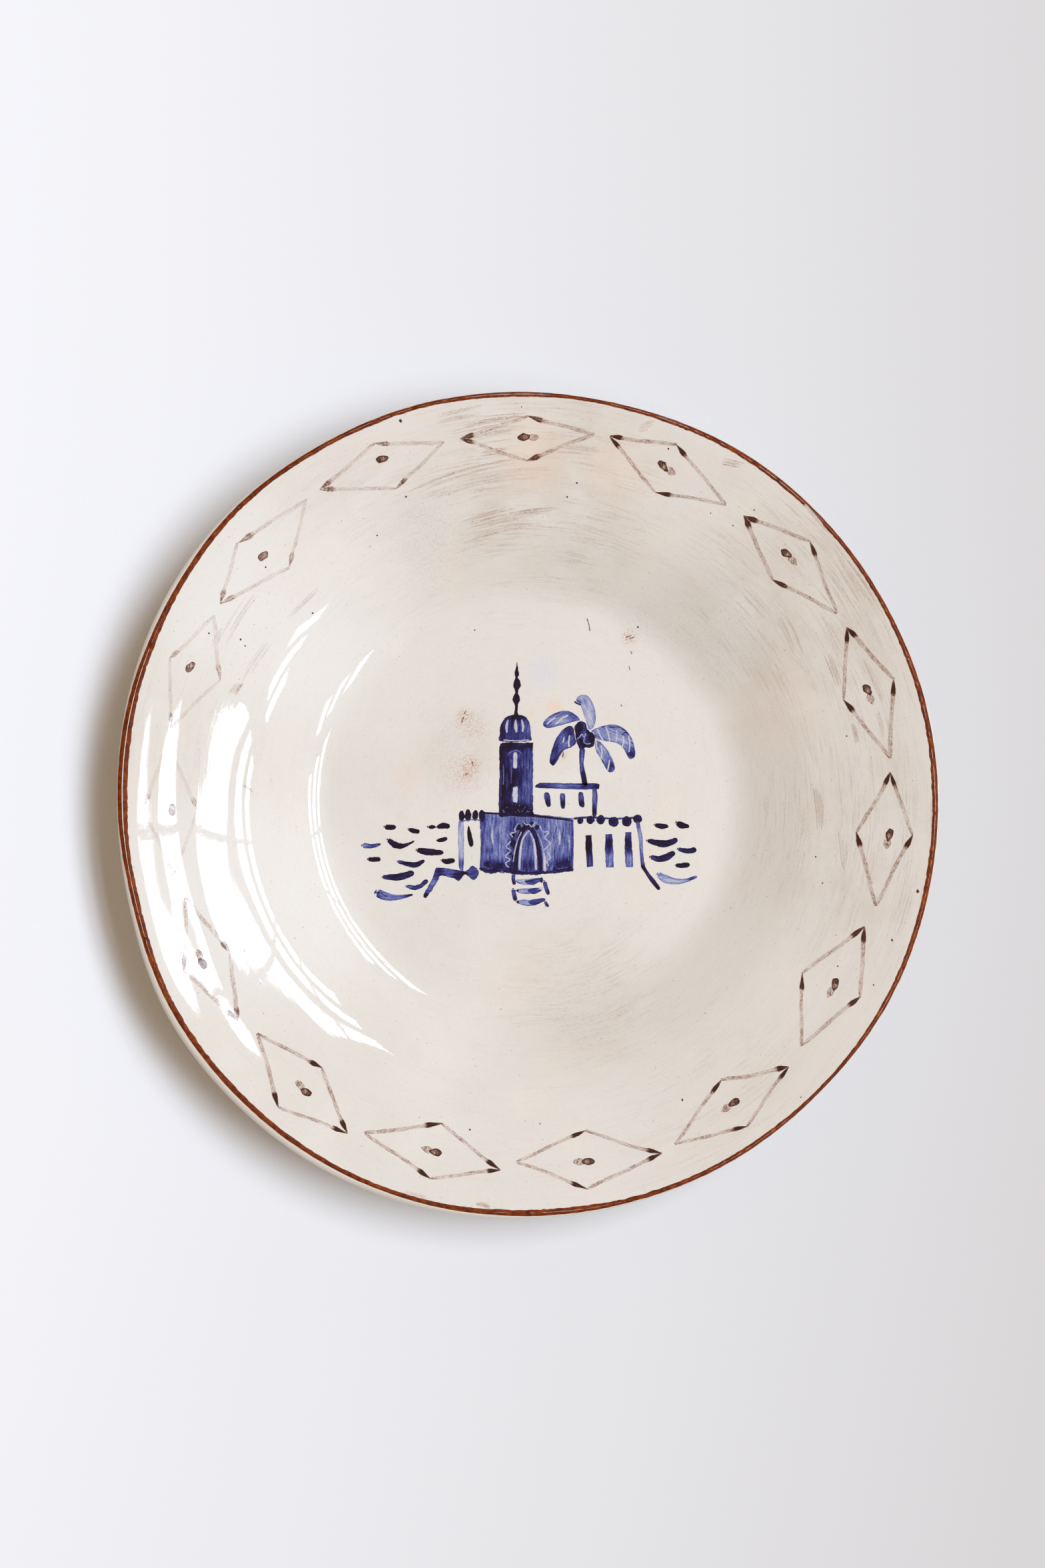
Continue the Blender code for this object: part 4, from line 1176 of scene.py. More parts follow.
# Ripples of water: points and brush width along each, then ink
LEFT_WAVES = (
    (((-46.4, -7.6, 1.3), (-45.1, -7.8, 1.5), (-43.8, -7.7, 1.3)), 1.0),
    (((-38.8, -8.4, 0.9), (-37.4, -8.9, 1.4), (-36.0, -9.1, 1.2)), 1.0),
    (((-32.3, -7.6, 0.9), (-31.4, -7.7, 1.1), (-30.6, -7.6, 0.9)), 1.0),
    (((-29.5, -7.7, 0.9), (-27.9, -7.3, 1.6), (-26.3, -7.3, 1.5)), 1.0),
    (((-53.6, -13.7, 1.4), (-51.0, -13.9, 1.2), (-48.4, -13.3, 0.7)), 0.62),
    (((-45.5, -12.0, 1.2), (-43.5, -13.4, 1.7), (-41.5, -13.9, 1.6), (-39.6, -13.5, 0.9),
      (-37.3, -12.4, 0.5)), 0.92),
    (((-29.6, -12.1, 0.7), (-28.2, -11.9, 1.2), (-26.8, -11.5, 1.1)), 1.0),
    (((-35.9, -15.2, 1.3), (-33.5, -15.7, 1.8), (-31.0, -15.9, 1.8), (-28.3, -16.0, 1.3)), 0.92),
    (((-51.9, -18.2, 1.1), (-50.3, -18.3, 1.3), (-48.7, -18.2, 1.1)), 1.0),
    (((-42.3, -19.0, 0.9), (-39.0, -19.8, 1.4), (-36.5, -20.0, 1.5), (-34.2, -18.8, 1.0)), 0.85),
    (((-28.0, -18.6, 0.9), (-26.4, -18.9, 1.5), (-24.5, -18.6, 1.4)), 1.0),
    (((-47.2, -24.0, 1.0), (-43.5, -24.1, 1.9), (-40.4, -23.6, 1.9), (-38.0, -22.8, 1.6)), 0.85),
    (((-39.5, -27.0, 0.9), (-37.0, -27.5, 1.3), (-35.0, -26.9, 1.1), (-33.3, -25.5, 1.3)), 0.72),
)
RIGHT_WAVES = (
    (((41.8, -7.0, 1.0), (43.6, -7.4, 1.5), (45.3, -7.4, 1.2)), 0.95),
    (((48.9, -6.3, 1.3), (50.3, -7.1, 1.9), (52.2, -7.4, 1.1)), 1.0),
    (((39.3, -12.1, 1.1), (43.5, -13.1, 2.0), (46.0, -12.9, 1.8), (48.3, -12.0, 1.5)), 0.9),
    (((49.4, -14.9, 1.0), (51.8, -15.5, 1.4), (54.3, -15.2, 1.6)), 0.85),
    (((40.4, -17.5, 1.2), (43.0, -18.1, 1.7), (45.6, -17.4, 1.9), (47.3, -16.3, 1.6)), 0.82),
    (((48.6, -20.2, 0.9), (50.5, -20.3, 1.4), (52.2, -20.0, 1.4)), 0.95),
)


def even(points, width):
    """The same brush width at every point of a line."""
    return [(x, y, width) for x, y in points]


def oval(x, y, wide, tall):
    """Ten points round an oval, given its half width and half height."""
    return [(x + wide * math.cos(k * TAU / 10), y + tall * math.sin(k * TAU / 10))
            for k in range(10)]


def paint_tower(paint):
    """Washes of the tower and dome, the dark belt between them and the finial."""
    paint.shape(TOWER, 0.66, 1, straight=True, turn=90, ragged=0.10, blobs=(
        (-8.6, 8.0, 1.8, 12.0, 0.16), (-7.0, 8.0, 2.4, 3.0, 0.42), (-7.0, 3.0, 2.0, 4.0, 0.20),
        (-7.6, 15.5, 1.6, 2.6, 0.20), (-4.5, 18.6, 6.0, 1.3, 0.30), (-4.0, 8.6, 2.2, 2.8, 0.24),
        (-3.6, -2.4, 6.0, 2.2, 0.45), (0.9, 9.0, 1.0, 9.0, -0.12), (-0.6, 2.5, 1.2, 3.0, -0.10),
        (-8.9, -0.5, 0.8, 2.0, -0.16), (0.9, 16.0, 0.8, 2.0, 0.10),
    ))
    paint.shape(DOME, 0.66, 2, turn=90, ragged=0.08, blobs=(
        (-3.7, 28.2, 2.6, 1.3, 0.30), (-7.9, 24.0, 1.3, 3.4, 0.22), (-3.4, 22.4, 4.0, 1.2, 0.02),
        (0.2, 24.0, 0.7, 3.0, -0.12), (-5.2, 25.5, 0.7, 2.4, 0.16), (-2.7, 25.5, 0.5, 2.4, 0.14),
    ))
    belt = ((-8.6, 20.0), (-8.7, 18.6), (-2.0, 18.3), (1.9, 18.2), (1.8, 20.0), (-3.0, 19.9))
    paint.shape(belt, 0.92, 3, straight=True, pool=0.05, turn=0, ragged=0.12)
    paint.stroke(FINIAL, 0.97, 4, ragged=0.08, pool=0.05)
    paint.shape(((-7.4, 12.0), (-8.8, 10.2), (-8.9, 6.4), (-6.8, 5.2), (-4.9, 6.4), (-5.2, 9.0)),
                0.95, 5, ragged=0.16, pool=0.0)
    base = ((-9.3, -2.9), (-8.4, -0.9), (-6.4, 0.2), (-4.6, -0.8), (-2.6, -0.3), (0.3, -0.9),
            (1.6, -2.2), (1.8, -4.0), (-3.5, -3.8), (-9.0, -4.4))
    paint.shape(base, 0.98, 6, ragged=0.16, pool=0.02, turn=0)


def paint_lights(paint):
    """Light ribs on the dome, and two light windows and an arch line on the tower."""
    ribs = ((((-6.5, 27.2, 0.6), (-6.9, 25.2, 0.95), (-6.8, 23.4, 0.6)), 0.10),
            (((-3.9, 27.3, 0.6), (-3.9, 25.2, 1.0), (-3.7, 23.6, 0.7)), 0.09),
            (((-1.9, 27.3, 0.5), (-1.5, 25.4, 0.9), (-1.6, 23.7, 0.6)), 0.12))
    for k, (rib, ink) in enumerate(ribs):
        paint.stroke(rib, ink, 7 + k)
    paint.stroke(even(((-7.8, 20.75), (-4.0, 20.55), (0.3, 20.8)), 0.42), 0.10, 10)
    for k, (top, bottom, wide) in enumerate(((16.7, 11.6, 0.6), (5.4, 0.5, 0.75))):
        light = ((-4.1 - wide, top - 0.5), (-4.1 - wide, bottom + 0.5), (-4.0, bottom),
                 (-4.1 + wide, bottom + 0.3), (-4.1 + wide, top - 0.3), (-4.1, top))
        paint.shape(light, 0.07, 11 + k, turn=90, ragged=0.10, pool=0.12,
                    blobs=((-4.1, (top + bottom) / 2, 0.3, 1.6, 0.10),))
    arc = ((-6.6, 15.6), (-5.8, 16.7), (-4.1, 17.4), (-2.9, 17.1), (-1.9, 16.1))
    paint.stroke(even(arc, 0.3), 0.36, 13)


def paint_tower_grain(paint):
    """Streaks of the brush down the tower and drops along its foot."""
    rng = np.random.default_rng(3)
    for k in range(13):
        x = -8.6 + 0.82 * k + rng.uniform(-0.25, 0.25)
        top = rng.uniform(9.0, 17.6)
        low = top - rng.uniform(3.0, 10.0)
        streak = [(x, top, 0.2), (x + 0.1, (top + low) / 2, 0.36), (x, low, 0.15)]
        if abs(x + 4.1) > 1.1:
            paint.stroke(streak, rng.uniform(0.42, 0.9), 30 + k, pool=0.0)
    for k in range(14):
        x, y = rng.uniform(-8.6, 1.2), rng.uniform(-3.2, -0.6)
        paint.shape(oval(x, y, 0.17, 0.17), 0.45, 60 + k, ragged=0.0, pool=0.0, grid=0.2)


def build_minaret(blue):
    """Slim tower with a ribbed dome and a beaded finial."""
    paint = Paint()
    paint_tower(paint)
    paint_lights(paint)
    paint_tower_grain(paint)
    paint.finish("minaret_paint", blue,
                 ["minaret_finial", "minaret_dome", "minaret_tower"])


def paint_front(paint):
    """Wash of the gatehouse front and the dark strokes along its edges."""
    paint.shape(GATEHOUSE, 0.46, 1, straight=True, turn=90, ragged=0.13, blobs=(
        (-12.5, -19.8, 2.0, 1.8, 0.34), (-9.0, -20.2, 1.5, 1.4, 0.36), (-6.0, -20.6, 1.5, 2.0, 0.34),
        (10.2, -19.6, 1.8, 1.6, 0.34), (12.9, -19.2, 1.5, 1.8, 0.40), (7.0, -20.0, 1.0, 1.2, 0.20),
        (-14.3, -8.0, 1.2, 5.0, 0.14), (-12.4, -15.4, 2.4, 0.8, 0.14), (-8.4, -9.0, 0.8, 6.0, -0.16),
        (-4.6, -12.0, 1.6, 6.5, 0.30), (4.5, -13.0, 1.0, 6.0, 0.10), (0.0, -22.4, 6.0, 1.0, 0.26),
        (9.0, -7.0, 1.4, 2.4, -0.10), (12.4, -12.0, 1.4, 5.0, 0.05), (0.0, -5.6, 5.0, 1.4, 0.08),
        (7.0, -16.0, 1.0, 4.0, -0.12), (-10.2, -6.0, 2.4, 2.0, 0.05),
    ))
    top = ((-15.3, -3.0, 0.7), (-9.4, -3.3, 0.6), (-3.0, -3.8, 0.9), (2.0, -4.0, 0.8),
           (8.0, -4.7, 0.65), (12.4, -5.2, 0.6), (14.8, -5.7, 0.5))
    paint.stroke(top, 0.95, 2, pool=0.0)
    paint.stroke(even(((14.6, -5.6), (14.7, -13.0), (14.5, -21.8)), 0.7), 0.62, 3, pool=0.05)
    paint.stroke(even(((-15.3, -3.4), (-14.9, -12.0), (-15.3, -21.4)), 0.8), 0.60, 4, pool=0.05)
    bottom = ((-15.4, -21.4, 1.1), (-12.0, -22.2, 1.5), (-8.8, -21.4, 1.2), (-6.4, -21.8, 1.6),
              (-3.0, -22.5, 1.3), (2.5, -22.7, 1.2), (8.0, -22.3, 1.0), (14.4, -21.5, 1.2))
    paint.stroke(bottom, 0.84, 5, ragged=0.16, pool=0.08)


def paint_doorway(paint):
    """Pointed doorway with its dark hood, and blobs of paint round it."""
    paint.shape(GATE_ARCH, 0.52, 6, turn=90, pool=0.0, blobs=((0.0, -20.5, 2.6, 2.2, 0.30),
                                                              (0.2, -12.5, 0.8, 2.0, 0.16)))
    hood = ((0.2, -7.0, 1.7), (-1.8, -9.0, 1.7), (-3.0, -12.5, 1.5), (-3.7, -16.5, 1.3),
            (-3.9, -21.5, 1.4))
    paint.stroke(hood, 0.90, 7, ragged=0.07)
    paint.stroke(((0.2, -7.2, 1.7), (1.9, -9.2, 1.5), (3.0, -12.2, 1.4), (3.8, -16.5, 1.5),
                  (4.2, -21.4, 1.5)), 0.84, 8, ragged=0.07)
    for k, (x, y, size) in enumerate(((-3.0, -7.7, 0.9), (3.0, -7.7, 0.8), (-4.7, -13.0, 1.1),
                                      (-5.0, -10.4, 0.8), (-4.4, -17.5, 0.9), (-5.6, -16.4, 0.6),
                                      (-1.0, -6.6, 0.6), (1.5, -6.5, 0.6))):
        paint.shape(oval(x, y, size, size * 1.1), 0.95, 10 + k, ragged=0.12, pool=0.0)


def paint_zigzags(paint):
    """Light lines: mouldings of the doorway, scallops over it and zigzags beside it."""
    for k, (moulding, ink) in enumerate((
        (((-2.7, -21.4, 0.7), (-2.5, -17.0, 0.75), (-1.9, -12.5, 0.7), (-0.9, -10.4, 0.55),
          (0.4, -8.9, 0.45)), 0.07),
        (((0.9, -9.7, 0.4), (1.9, -12.0, 0.7), (2.5, -16.0, 0.8), (2.7, -21.4, 0.75)), 0.08),
        (((-4.7, -19.0, 0.3), (-4.2, -15.5, 0.45), (-3.3, -12.0, 0.4), (-2.1, -9.4, 0.3)), 0.10),
        (((3.3, -10.0, 0.35), (4.4, -12.5, 0.45), (5.0, -15.0, 0.5), (5.5, -17.6, 0.9),
          (5.6, -21.6, 1.2)), 0.11),
    )):
        paint.stroke(moulding, ink, 20 + k)
    scallops = ((-1.2, -6.2), (-0.4, -6.9), (0.4, -6.7), (1.3, -7.6), (2.3, -6.3), (3.0, -6.3))
    paint.stroke(even(scallops, 0.36), 0.10, 24)
    for k, zigzag in enumerate((
        ((-3.2, -6.6), (-4.2, -8.3), (-3.9, -9.2)),
        ((-4.3, -9.4), (-5.6, -9.8), (-5.0, -10.8)),
        ((-5.6, -12.3), (-7.1, -14.2), (-6.4, -14.6), (-5.7, -15.3)),
        ((-5.8, -15.8), (-7.3, -17.2), (-5.8, -18.3), (-7.2, -19.6), (-6.0, -21.2)),
        ((4.0, -7.3), (4.9, -9.2), (6.9, -9.3), (5.6, -11.2), (7.3, -13.0), (5.4, -15.1)),
        ((6.6, -16.0), (7.4, -17.6), (6.4, -18.8), (6.8, -20.4)),
    )):
        paint.stroke(even(zigzag, 0.42), 0.08, 30 + k)
    paint.stroke([(-11.5, -7.9, 0.5), (-11.6, -10.4, 0.8), (-11.4, -13.0, 0.4)], 0.12, 40)
    paint.stroke([(10.4, -8.8, 0.5), (10.4, -11.0, 0.85), (10.3, -13.5, 0.4)], 0.10, 41)
    paint.stroke(even(((-8.3, -5.2), (-8.0, -9.5), (-8.4, -14.6)), 0.3), 0.24, 42)
    paint.stroke(even(((13.4, -7.0), (13.6, -12.0), (13.3, -17.2)), 0.28), 0.34, 43)


def paint_front_grain(paint):
    """Streaks of the brush down the front and dark dabs along its foot."""
    rng = np.random.default_rng(5)
    for k in range(20):
        x = rng.choice([rng.uniform(-14.8, -6.2), rng.uniform(7.4, 14.2)])
        high = rng.uniform(-13.0, -6.0)
        low = high - rng.uniform(2.5, 7.0)
        streak = [(x, high, 0.2), (x + rng.uniform(-0.3, 0.3), (high + low) / 2, 0.38), (x, low, 0.2)]
        if abs(x + 11.5) > 0.9 and abs(x - 10.4) > 0.9:
            paint.stroke(streak, rng.uniform(0.30, 0.70), 50 + k, pool=0.0)
    for k, (x, y, size) in enumerate(((-13.0, -19.8, 1.2), (-8.6, -20.3, 1.1), (-10.6, -21.2, 0.9),
                                      (10.4, -20.2, 1.1), (12.8, -19.6, 1.2), (9.0, -21.4, 0.8),
                                      (13.9, -21.2, 0.8), (-6.4, -21.6, 0.9))):
        paint.shape(oval(x, y, size, size * 0.9), 0.86, 80 + k, ragged=0.18, pool=0.0)


def build_gatehouse(blue):
    """Gatehouse with a pointed doorway ringed by zigzags."""
    paint = Paint()
    paint_front(paint)
    paint_doorway(paint)
    paint_zigzags(paint)
    paint_front_grain(paint)
    paint.finish("gatehouse_paint", blue, ["gatehouse", "gate_door"])


def build_left_wall(blue):
    """Plain wall left of the gate: merlons, a post, one slit and the shore line."""
    paint = Paint()
    paint.shape(LEFT_POST, 0.20, 1, turn=90, blobs=((-21.7, -20.0, 1.2, 2.4, 0.34),
                                                    (-22.3, -7.0, 0.5, 2.0, 0.10)))
    paint.shape(LEFT_SLIT, 0.97, 2, turn=90)
    for k, (x, y, wide, tall) in enumerate(LEFT_MERLONS):
        paint.shape(oval(x, y, wide, tall), 0.95, 3 + k, ragged=0.12, turn=90, pool=0.02)
    paint.stroke([(-21.8, -5.9, 0.5), (-20.0, -5.5, 0.3), (-18.0, -5.3, 0.3), (-15.5, -5.4, 0.5)],
                 0.40, 8)
    paint.shape(SHORE, 0.56, 9, ragged=0.09, turn=0, blobs=(
        (-29.0, -22.4, 1.4, 1.4, 0.32), (-22.6, -23.4, 2.2, 1.4, 0.34), (-33.3, -29.8, 1.0, 1.0, 0.34),
        (-18.0, -22.6, 1.5, 1.5, 0.12), (-31.4, -26.4, 0.9, 1.4, -0.10), (-25.6, -22.8, 1.5, 0.7, -0.08),
        (-20.6, -22.8, 0.8, 0.8, 0.30),
    ))
    paint.finish("left_wall_paint", blue,
                 ["left_wall_post", "left_wall_slit", "shore_line"])


def build_house(blue):
    """Low house between the tower and the palm: roof line, side and three windows."""
    paint = Paint()
    paint.shape(HOUSE_ROOF, 0.60, 1, turn=0, blobs=(
        (22.4, 5.6, 1.1, 1.0, 0.36), (4.0, 6.0, 1.2, 0.7, 0.20), (12.0, 6.1, 4.0, 0.4, -0.14),
        (18.4, 5.6, 1.2, 0.9, 0.22),
    ))
    paint.stroke([(21.8, 5.0, 1.3), (22.0, 2.4, 1.7), (21.9, -0.6, 1.6), (21.8, -3.6, 1.4)],
                 0.62, 2, blobs=((21.9, -2.6, 1.2, 1.2, 0.34), (22.0, 2.0, 0.6, 2.0, -0.12)))
    for k, window in enumerate(HOUSE_WINDOWS):
        x = sum(p[0] for p in window) / len(window)
        paint.shape(window, 0.62, 3 + k, turn=90, blobs=((x, 0.0, 0.8, 1.1, 0.30),
                                                         (x, 2.6, 0.6, 0.9, -0.10)))
    paint.finish("house_paint", blue,
                 ["house_roof_line", "house_window_1", "house_window_2", "house_window_3"])


def build_right_wall(blue):
    """Wall right of the gate: row of dots for merlons, three windows, post and bank."""
    paint = Paint()
    line = [(15.2, -4.9, 0.8), (20.5, -4.5, 0.7), (28.0, -4.9, 0.6), (36.4, -4.6, 0.8)]
    paint.stroke(line, 0.66, 1, blobs=((30.5, -4.9, 3.0, 0.6, -0.2),))
    for k, (x, y, size) in enumerate(RIGHT_DOTS):
        paint.shape(oval(x, y, size, size * 1.02), 0.78, 2 + k, ragged=0.12, turn=90, blobs=(
            (x - 0.2, y - 0.2, size * 0.6, size * 0.6, 0.20),))
    for k, window in enumerate(WALL_WINDOWS):
        x = sum(p[0] for p in window) / len(window)
        pale = 0.62 if k == 0 else 0.44
        paint.shape(window, pale, 10 + k, straight=True, turn=90, ragged=0.09, blobs=(
            (x - 0.1, -13.2, 1.3, 3.0 + 1.5 * (k == 0), 0.50), (x, -17.4, 1.0, 1.0, -0.12)))
    post = [(36.0, -6.4, 1.2), (36.9, -11.0, 1.3), (37.2, -16.0, 1.1), (37.7, -20.6, 1.3)]
    paint.stroke(post, 0.30, 20, blobs=((37.2, -17.6, 1.0, 2.6, 0.28), (36.0, -7.0, 0.8, 1.4, 0.2),
                                        (37.6, -20.4, 0.9, 0.9, 0.3)))
    bank = [(37.7, -20.6, 1.3), (39.2, -23.0, 1.1), (41.0, -25.4, 1.5), (42.8, -27.7, 1.2)]
    paint.stroke(bank, 0.84, 21, blobs=((39.4, -23.2, 0.7, 0.9, -0.16),))
    paint.finish("right_wall_paint", blue,
                 ["right_battlement", "right_wall_post", "right_window_1", "right_window_2",
                  "right_window_3"])


def paint_fronds(paint):
    """Washes of the trunk, the five fronds and the crown."""
    paint.shape(PALM_TRUNK, 0.62, 1, turn=90, blobs=((18.6, 7.4, 1.0, 2.2, 0.36),
                                                     (17.8, 13.0, 0.4, 4.0, -0.16)))
    paint.shape(FROND_TOP, 0.24, 2, turn=110, blobs=(
        (16.6, 33.2, 1.2, 0.7, 0.34), (21.6, 28.4, 0.7, 3.0, 0.10), (20.0, 27.0, 1.4, 1.8, -0.04),
        (18.6, 33.2, 1.4, 1.4, 0.06),
    ))
    paint.shape(FROND_LEFT, 0.40, 3, turn=20, blobs=(
        (6.4, 25.6, 1.4, 0.8, 0.26), (14.2, 28.6, 2.0, 1.2, 0.16), (10.2, 29.4, 3.0, 0.5, 0.10),
        (11.0, 26.6, 2.4, 0.6, -0.10),
    ))
    paint.shape(FROND_LOWER_LEFT, 0.60, 4, turn=55, blobs=(
        (13.6, 23.4, 1.6, 1.6, 0.20), (9.0, 16.6, 1.2, 3.0, 0.12), (8.2, 13.2, 1.0, 0.9, 0.24),
        (12.0, 19.6, 1.5, 1.2, -0.12),
    ))
    paint.shape(FROND_RIGHT, 0.36, 5, turn=-25, blobs=(
        (34.0, 16.4, 1.6, 1.9, 0.44), (32.2, 22.6, 1.6, 1.6, 0.14), (23.6, 22.6, 1.4, 1.4, 0.12),
        (28.8, 21.6, 2.4, 1.0, -0.10), (28.0, 25.2, 3.0, 0.5, 0.12),
    ))
    paint.shape(FROND_LOWER_RIGHT, 0.34, 6, turn=-65, blobs=(
        (27.0, 12.2, 1.4, 1.8, 0.44), (23.0, 19.4, 0.8, 1.0, 0.10), (26.4, 16.6, 1.0, 1.4, 0.06),
    ))
    paint.shape(PALM_CROWN, 0.66, 7, turn=70, ragged=0.12, blobs=(
        (17.0, 25.2, 1.2, 1.4, 0.34), (16.4, 22.6, 0.9, 1.4, 0.24), (20.8, 21.6, 1.1, 1.6, 0.40),
        (18.6, 19.0, 1.6, 0.8, 0.34), (18.6, 22.8, 0.9, 0.8, -0.10),
    ))


def paint_palm_lines(paint):
    """Dark dabs in the crown, its light curls, and the light and dark veins of the fronds."""
    for k, (x, y, wide, tall) in enumerate(((17.1, 24.9, 1.2, 1.5), (16.5, 22.6, 0.8, 1.2),
                                            (20.9, 21.6, 0.95, 1.7), (17.4, 20.2, 0.8, 1.1),
                                            (19.6, 23.4, 0.8, 0.8), (20.3, 19.2, 0.9, 0.7))):
        paint.shape(oval(x, y, wide, tall), 0.96, 10 + k, ragged=0.14, pool=0.0)
    m_line = ((16.3, 21.3), (17.0, 21.7), (17.7, 22.7), (18.4, 21.8), (19.0, 22.8))
    paint.stroke(even(m_line, 0.32), 0.13, 20)
    hook = ((18.6, 21.6), (18.3, 20.3), (19.2, 19.5), (20.4, 19.6))
    paint.stroke(even(hook, 0.34), 0.14, 21)
    for k, (points, width) in enumerate((
        (((6.3, 25.9), (7.6, 27.2), (9.0, 28.0)), 0.45), (((9.2, 26.0), (11.0, 27.7), (13.0, 28.8)), 0.5),
        (((13.7, 22.2), (13.4, 20.4), (13.5, 18.6)), 0.5), (((11.9, 21.6), (11.6, 20.0)), 0.4),
        (((22.7, 24.3), (23.5, 22.6), (24.6, 20.7)), 0.4), (((25.5, 25.0), (26.4, 22.8), (26.8, 20.4)), 0.42),
        (((29.0, 24.0), (29.2, 22.2), (28.9, 20.4)), 0.4), (((31.3, 22.0), (31.3, 20.2), (30.9, 18.4)), 0.4),
        (((33.0, 22.0), (33.4, 19.6), (33.1, 17.0)), 0.36), (((22.4, 20.4), (22.6, 17.5)), 0.35),
        (((24.0, 19.0), (24.3, 17.0), (24.0, 15.0)), 0.4), (((26.8, 14.2), (26.5, 12.5), (26.2, 11.0)), 0.45),
        (((18.8, 31.4), (20.4, 29.0)), 0.32), (((19.6, 28.4), (21.2, 27.2)), 0.28),
    )):
        paint.stroke(even(points, width), 0.10, 30 + k, pool=0.04)
    for k, (points, width) in enumerate((
        (((31.0, 22.5), (31.7, 23.2), (32.7, 23.0)), 0.3), (((17.8, 10.2), (18.0, 8.0)), 0.8),
        (((24.4, 14.2), (24.8, 13.4)), 0.5), (((15.4, 33.3), (16.2, 32.7), (17.2, 32.3)), 0.5),
        (((9.7, 18.6), (9.3, 16.8)), 0.35), (((26.6, 24.8), (29.6, 25.0), (31.8, 23.9)), 0.22),
    )):
        paint.stroke(even(points, width), 0.80, 60 + k, pool=0.04)


def build_palm(blue):
    """Palm with five drooping fronds."""
    paint = Paint()
    paint_fronds(paint)
    paint_palm_lines(paint)
    paint.finish("palm_paint", blue,
                 ["palm_trunk", "palm_crown", "palm_frond_top", "palm_frond_left",
                  "palm_frond_lower_left", "palm_frond_right", "palm_frond_lower_right"])


def build_steps(blue):
    """Steps below the gate: a tick, a pale tread and a darker lens on each."""
    paint = Paint()
    ticks = (((-4.6, -23.3), (-4.7, -24.8), (-4.4, -26.0), 1.2),
             ((5.5, -25.7), (6.0, -27.4), (6.6, -29.2), 1.3),
             ((-4.7, -28.3), (-4.4, -29.8), (-4.1, -31.2), 1.4),
             ((5.7, -32.2), (6.1, -32.8), (6.5, -33.4), 1.0))
    for k, (*points, width) in enumerate(ticks):
        x, y = points[-1]
        paint.stroke(even(points, width), 0.56, 1 + k, blobs=((x, y + 0.3, 0.7, 0.9, 0.22),))
    treads = ((((-3.9, -25.2, 0.7), (-2.0, -25.6, 1.7), (1.0, -25.5, 1.9), (4.0, -24.8, 1.2)),
               ((-0.8, -25.4, 0.6), (1.4, -25.7, 1.9), (4.0, -24.9, 1.0)), (4.5, -25.0, 0.55, 0.9)),
              (((-3.6, -28.4, 0.7), (-2.0, -28.6, 1.6), (1.0, -28.6, 1.9), (4.0, -28.2, 1.2)),
               ((0.2, -28.5, 0.7), (2.0, -28.6, 2.0), (4.0, -28.1, 1.2)), (-3.3, -28.4, 0.4, 0.45)),
              (((-3.5, -32.1, 0.8), (-1.6, -32.3, 1.8), (1.0, -32.4, 2.0), (5.0, -31.5, 1.2)),
               ((0.4, -32.2, 0.7), (2.0, -32.3, 2.0), (5.4, -31.4, 0.9)), (-3.2, -32.2, 0.4, 0.5)))
    for k, (tread, lens, end) in enumerate(treads):
        paint.stroke(tread, 0.30, 10 + k, pool=0.2)
        x, y, _ = lens[1]
        paint.stroke(lens, 0.54, 20 + k, pool=0.26, blobs=((x, y, 0.9, 0.4, 0.18),))
        paint.shape(oval(*end), 0.74, 30 + k)
    paint.stroke([(4.0, -27.8, 0.8), (5.0, -27.5, 0.6)], 0.12, 40, pool=0.03)
    paint.finish("steps_paint", blue)


def build_water(blue):
    """Ripples of water either side of the gate."""
    for side, waves in (("left", LEFT_WAVES), ("right", RIGHT_WAVES)):
        paint = Paint()
        for k, (thin, ink) in enumerate(waves):
            points = [(x, y, 1.18 * width) for x, y, width in thin]
            x, y, _ = points[0]
            pale = ((x, y, 1.5, 1.2, -0.18),) if ink < 0.9 else ()
            paint.stroke(points, ink, 1 + k, turn=0, ragged=0.07, blobs=pale)
        if side == "left":
            paint.stroke([(-48.9, -29.3, 2.7), (-46.5, -30.3, 2.7), (-43.5, -30.7, 1.9),
                          (-40.5, -30.4, 1.2), (-37.9, -29.8, 0.7)], 0.44, 20, blobs=(
                              (-49.0, -29.6, 1.0, 1.4, 0.26), (-44.0, -30.2, 1.6, 0.7, -0.10),
                              (-38.6, -30.0, 1.8, 0.6, 0.38)))
            paint.stroke(even(((-47.8, -29.4), (-46.2, -30.4)), 0.3), 0.74, 21)
        else:
            paint.stroke([(42.9, -23.3, 1.8), (45.0, -24.6, 2.6), (48.0, -25.4, 2.1),
                          (51.5, -25.2, 1.3), (55.0, -23.9, 0.9)], 0.26, 20, blobs=(
                              (53.9, -24.5, 1.8, 0.8, 0.42), (43.0, -22.9, 1.0, 0.7, 0.14),
                              (46.0, -23.8, 2.4, 0.5, 0.12)))
        paint.finish(f"{side}_water_paint", blue)


# ---------------------------------------------------------------- stage

CAMERA_AT = (-0.0017, 0.0064, 0.72)
TABLE_SIZE = 5.0
WINDOW_AZIMUTH = math.radians(10.0)
DAYLIGHT = (0.76, 0.867, 1.0)
ROOM_LIGHT = (1.0, 0.74, 0.48, 1.0)


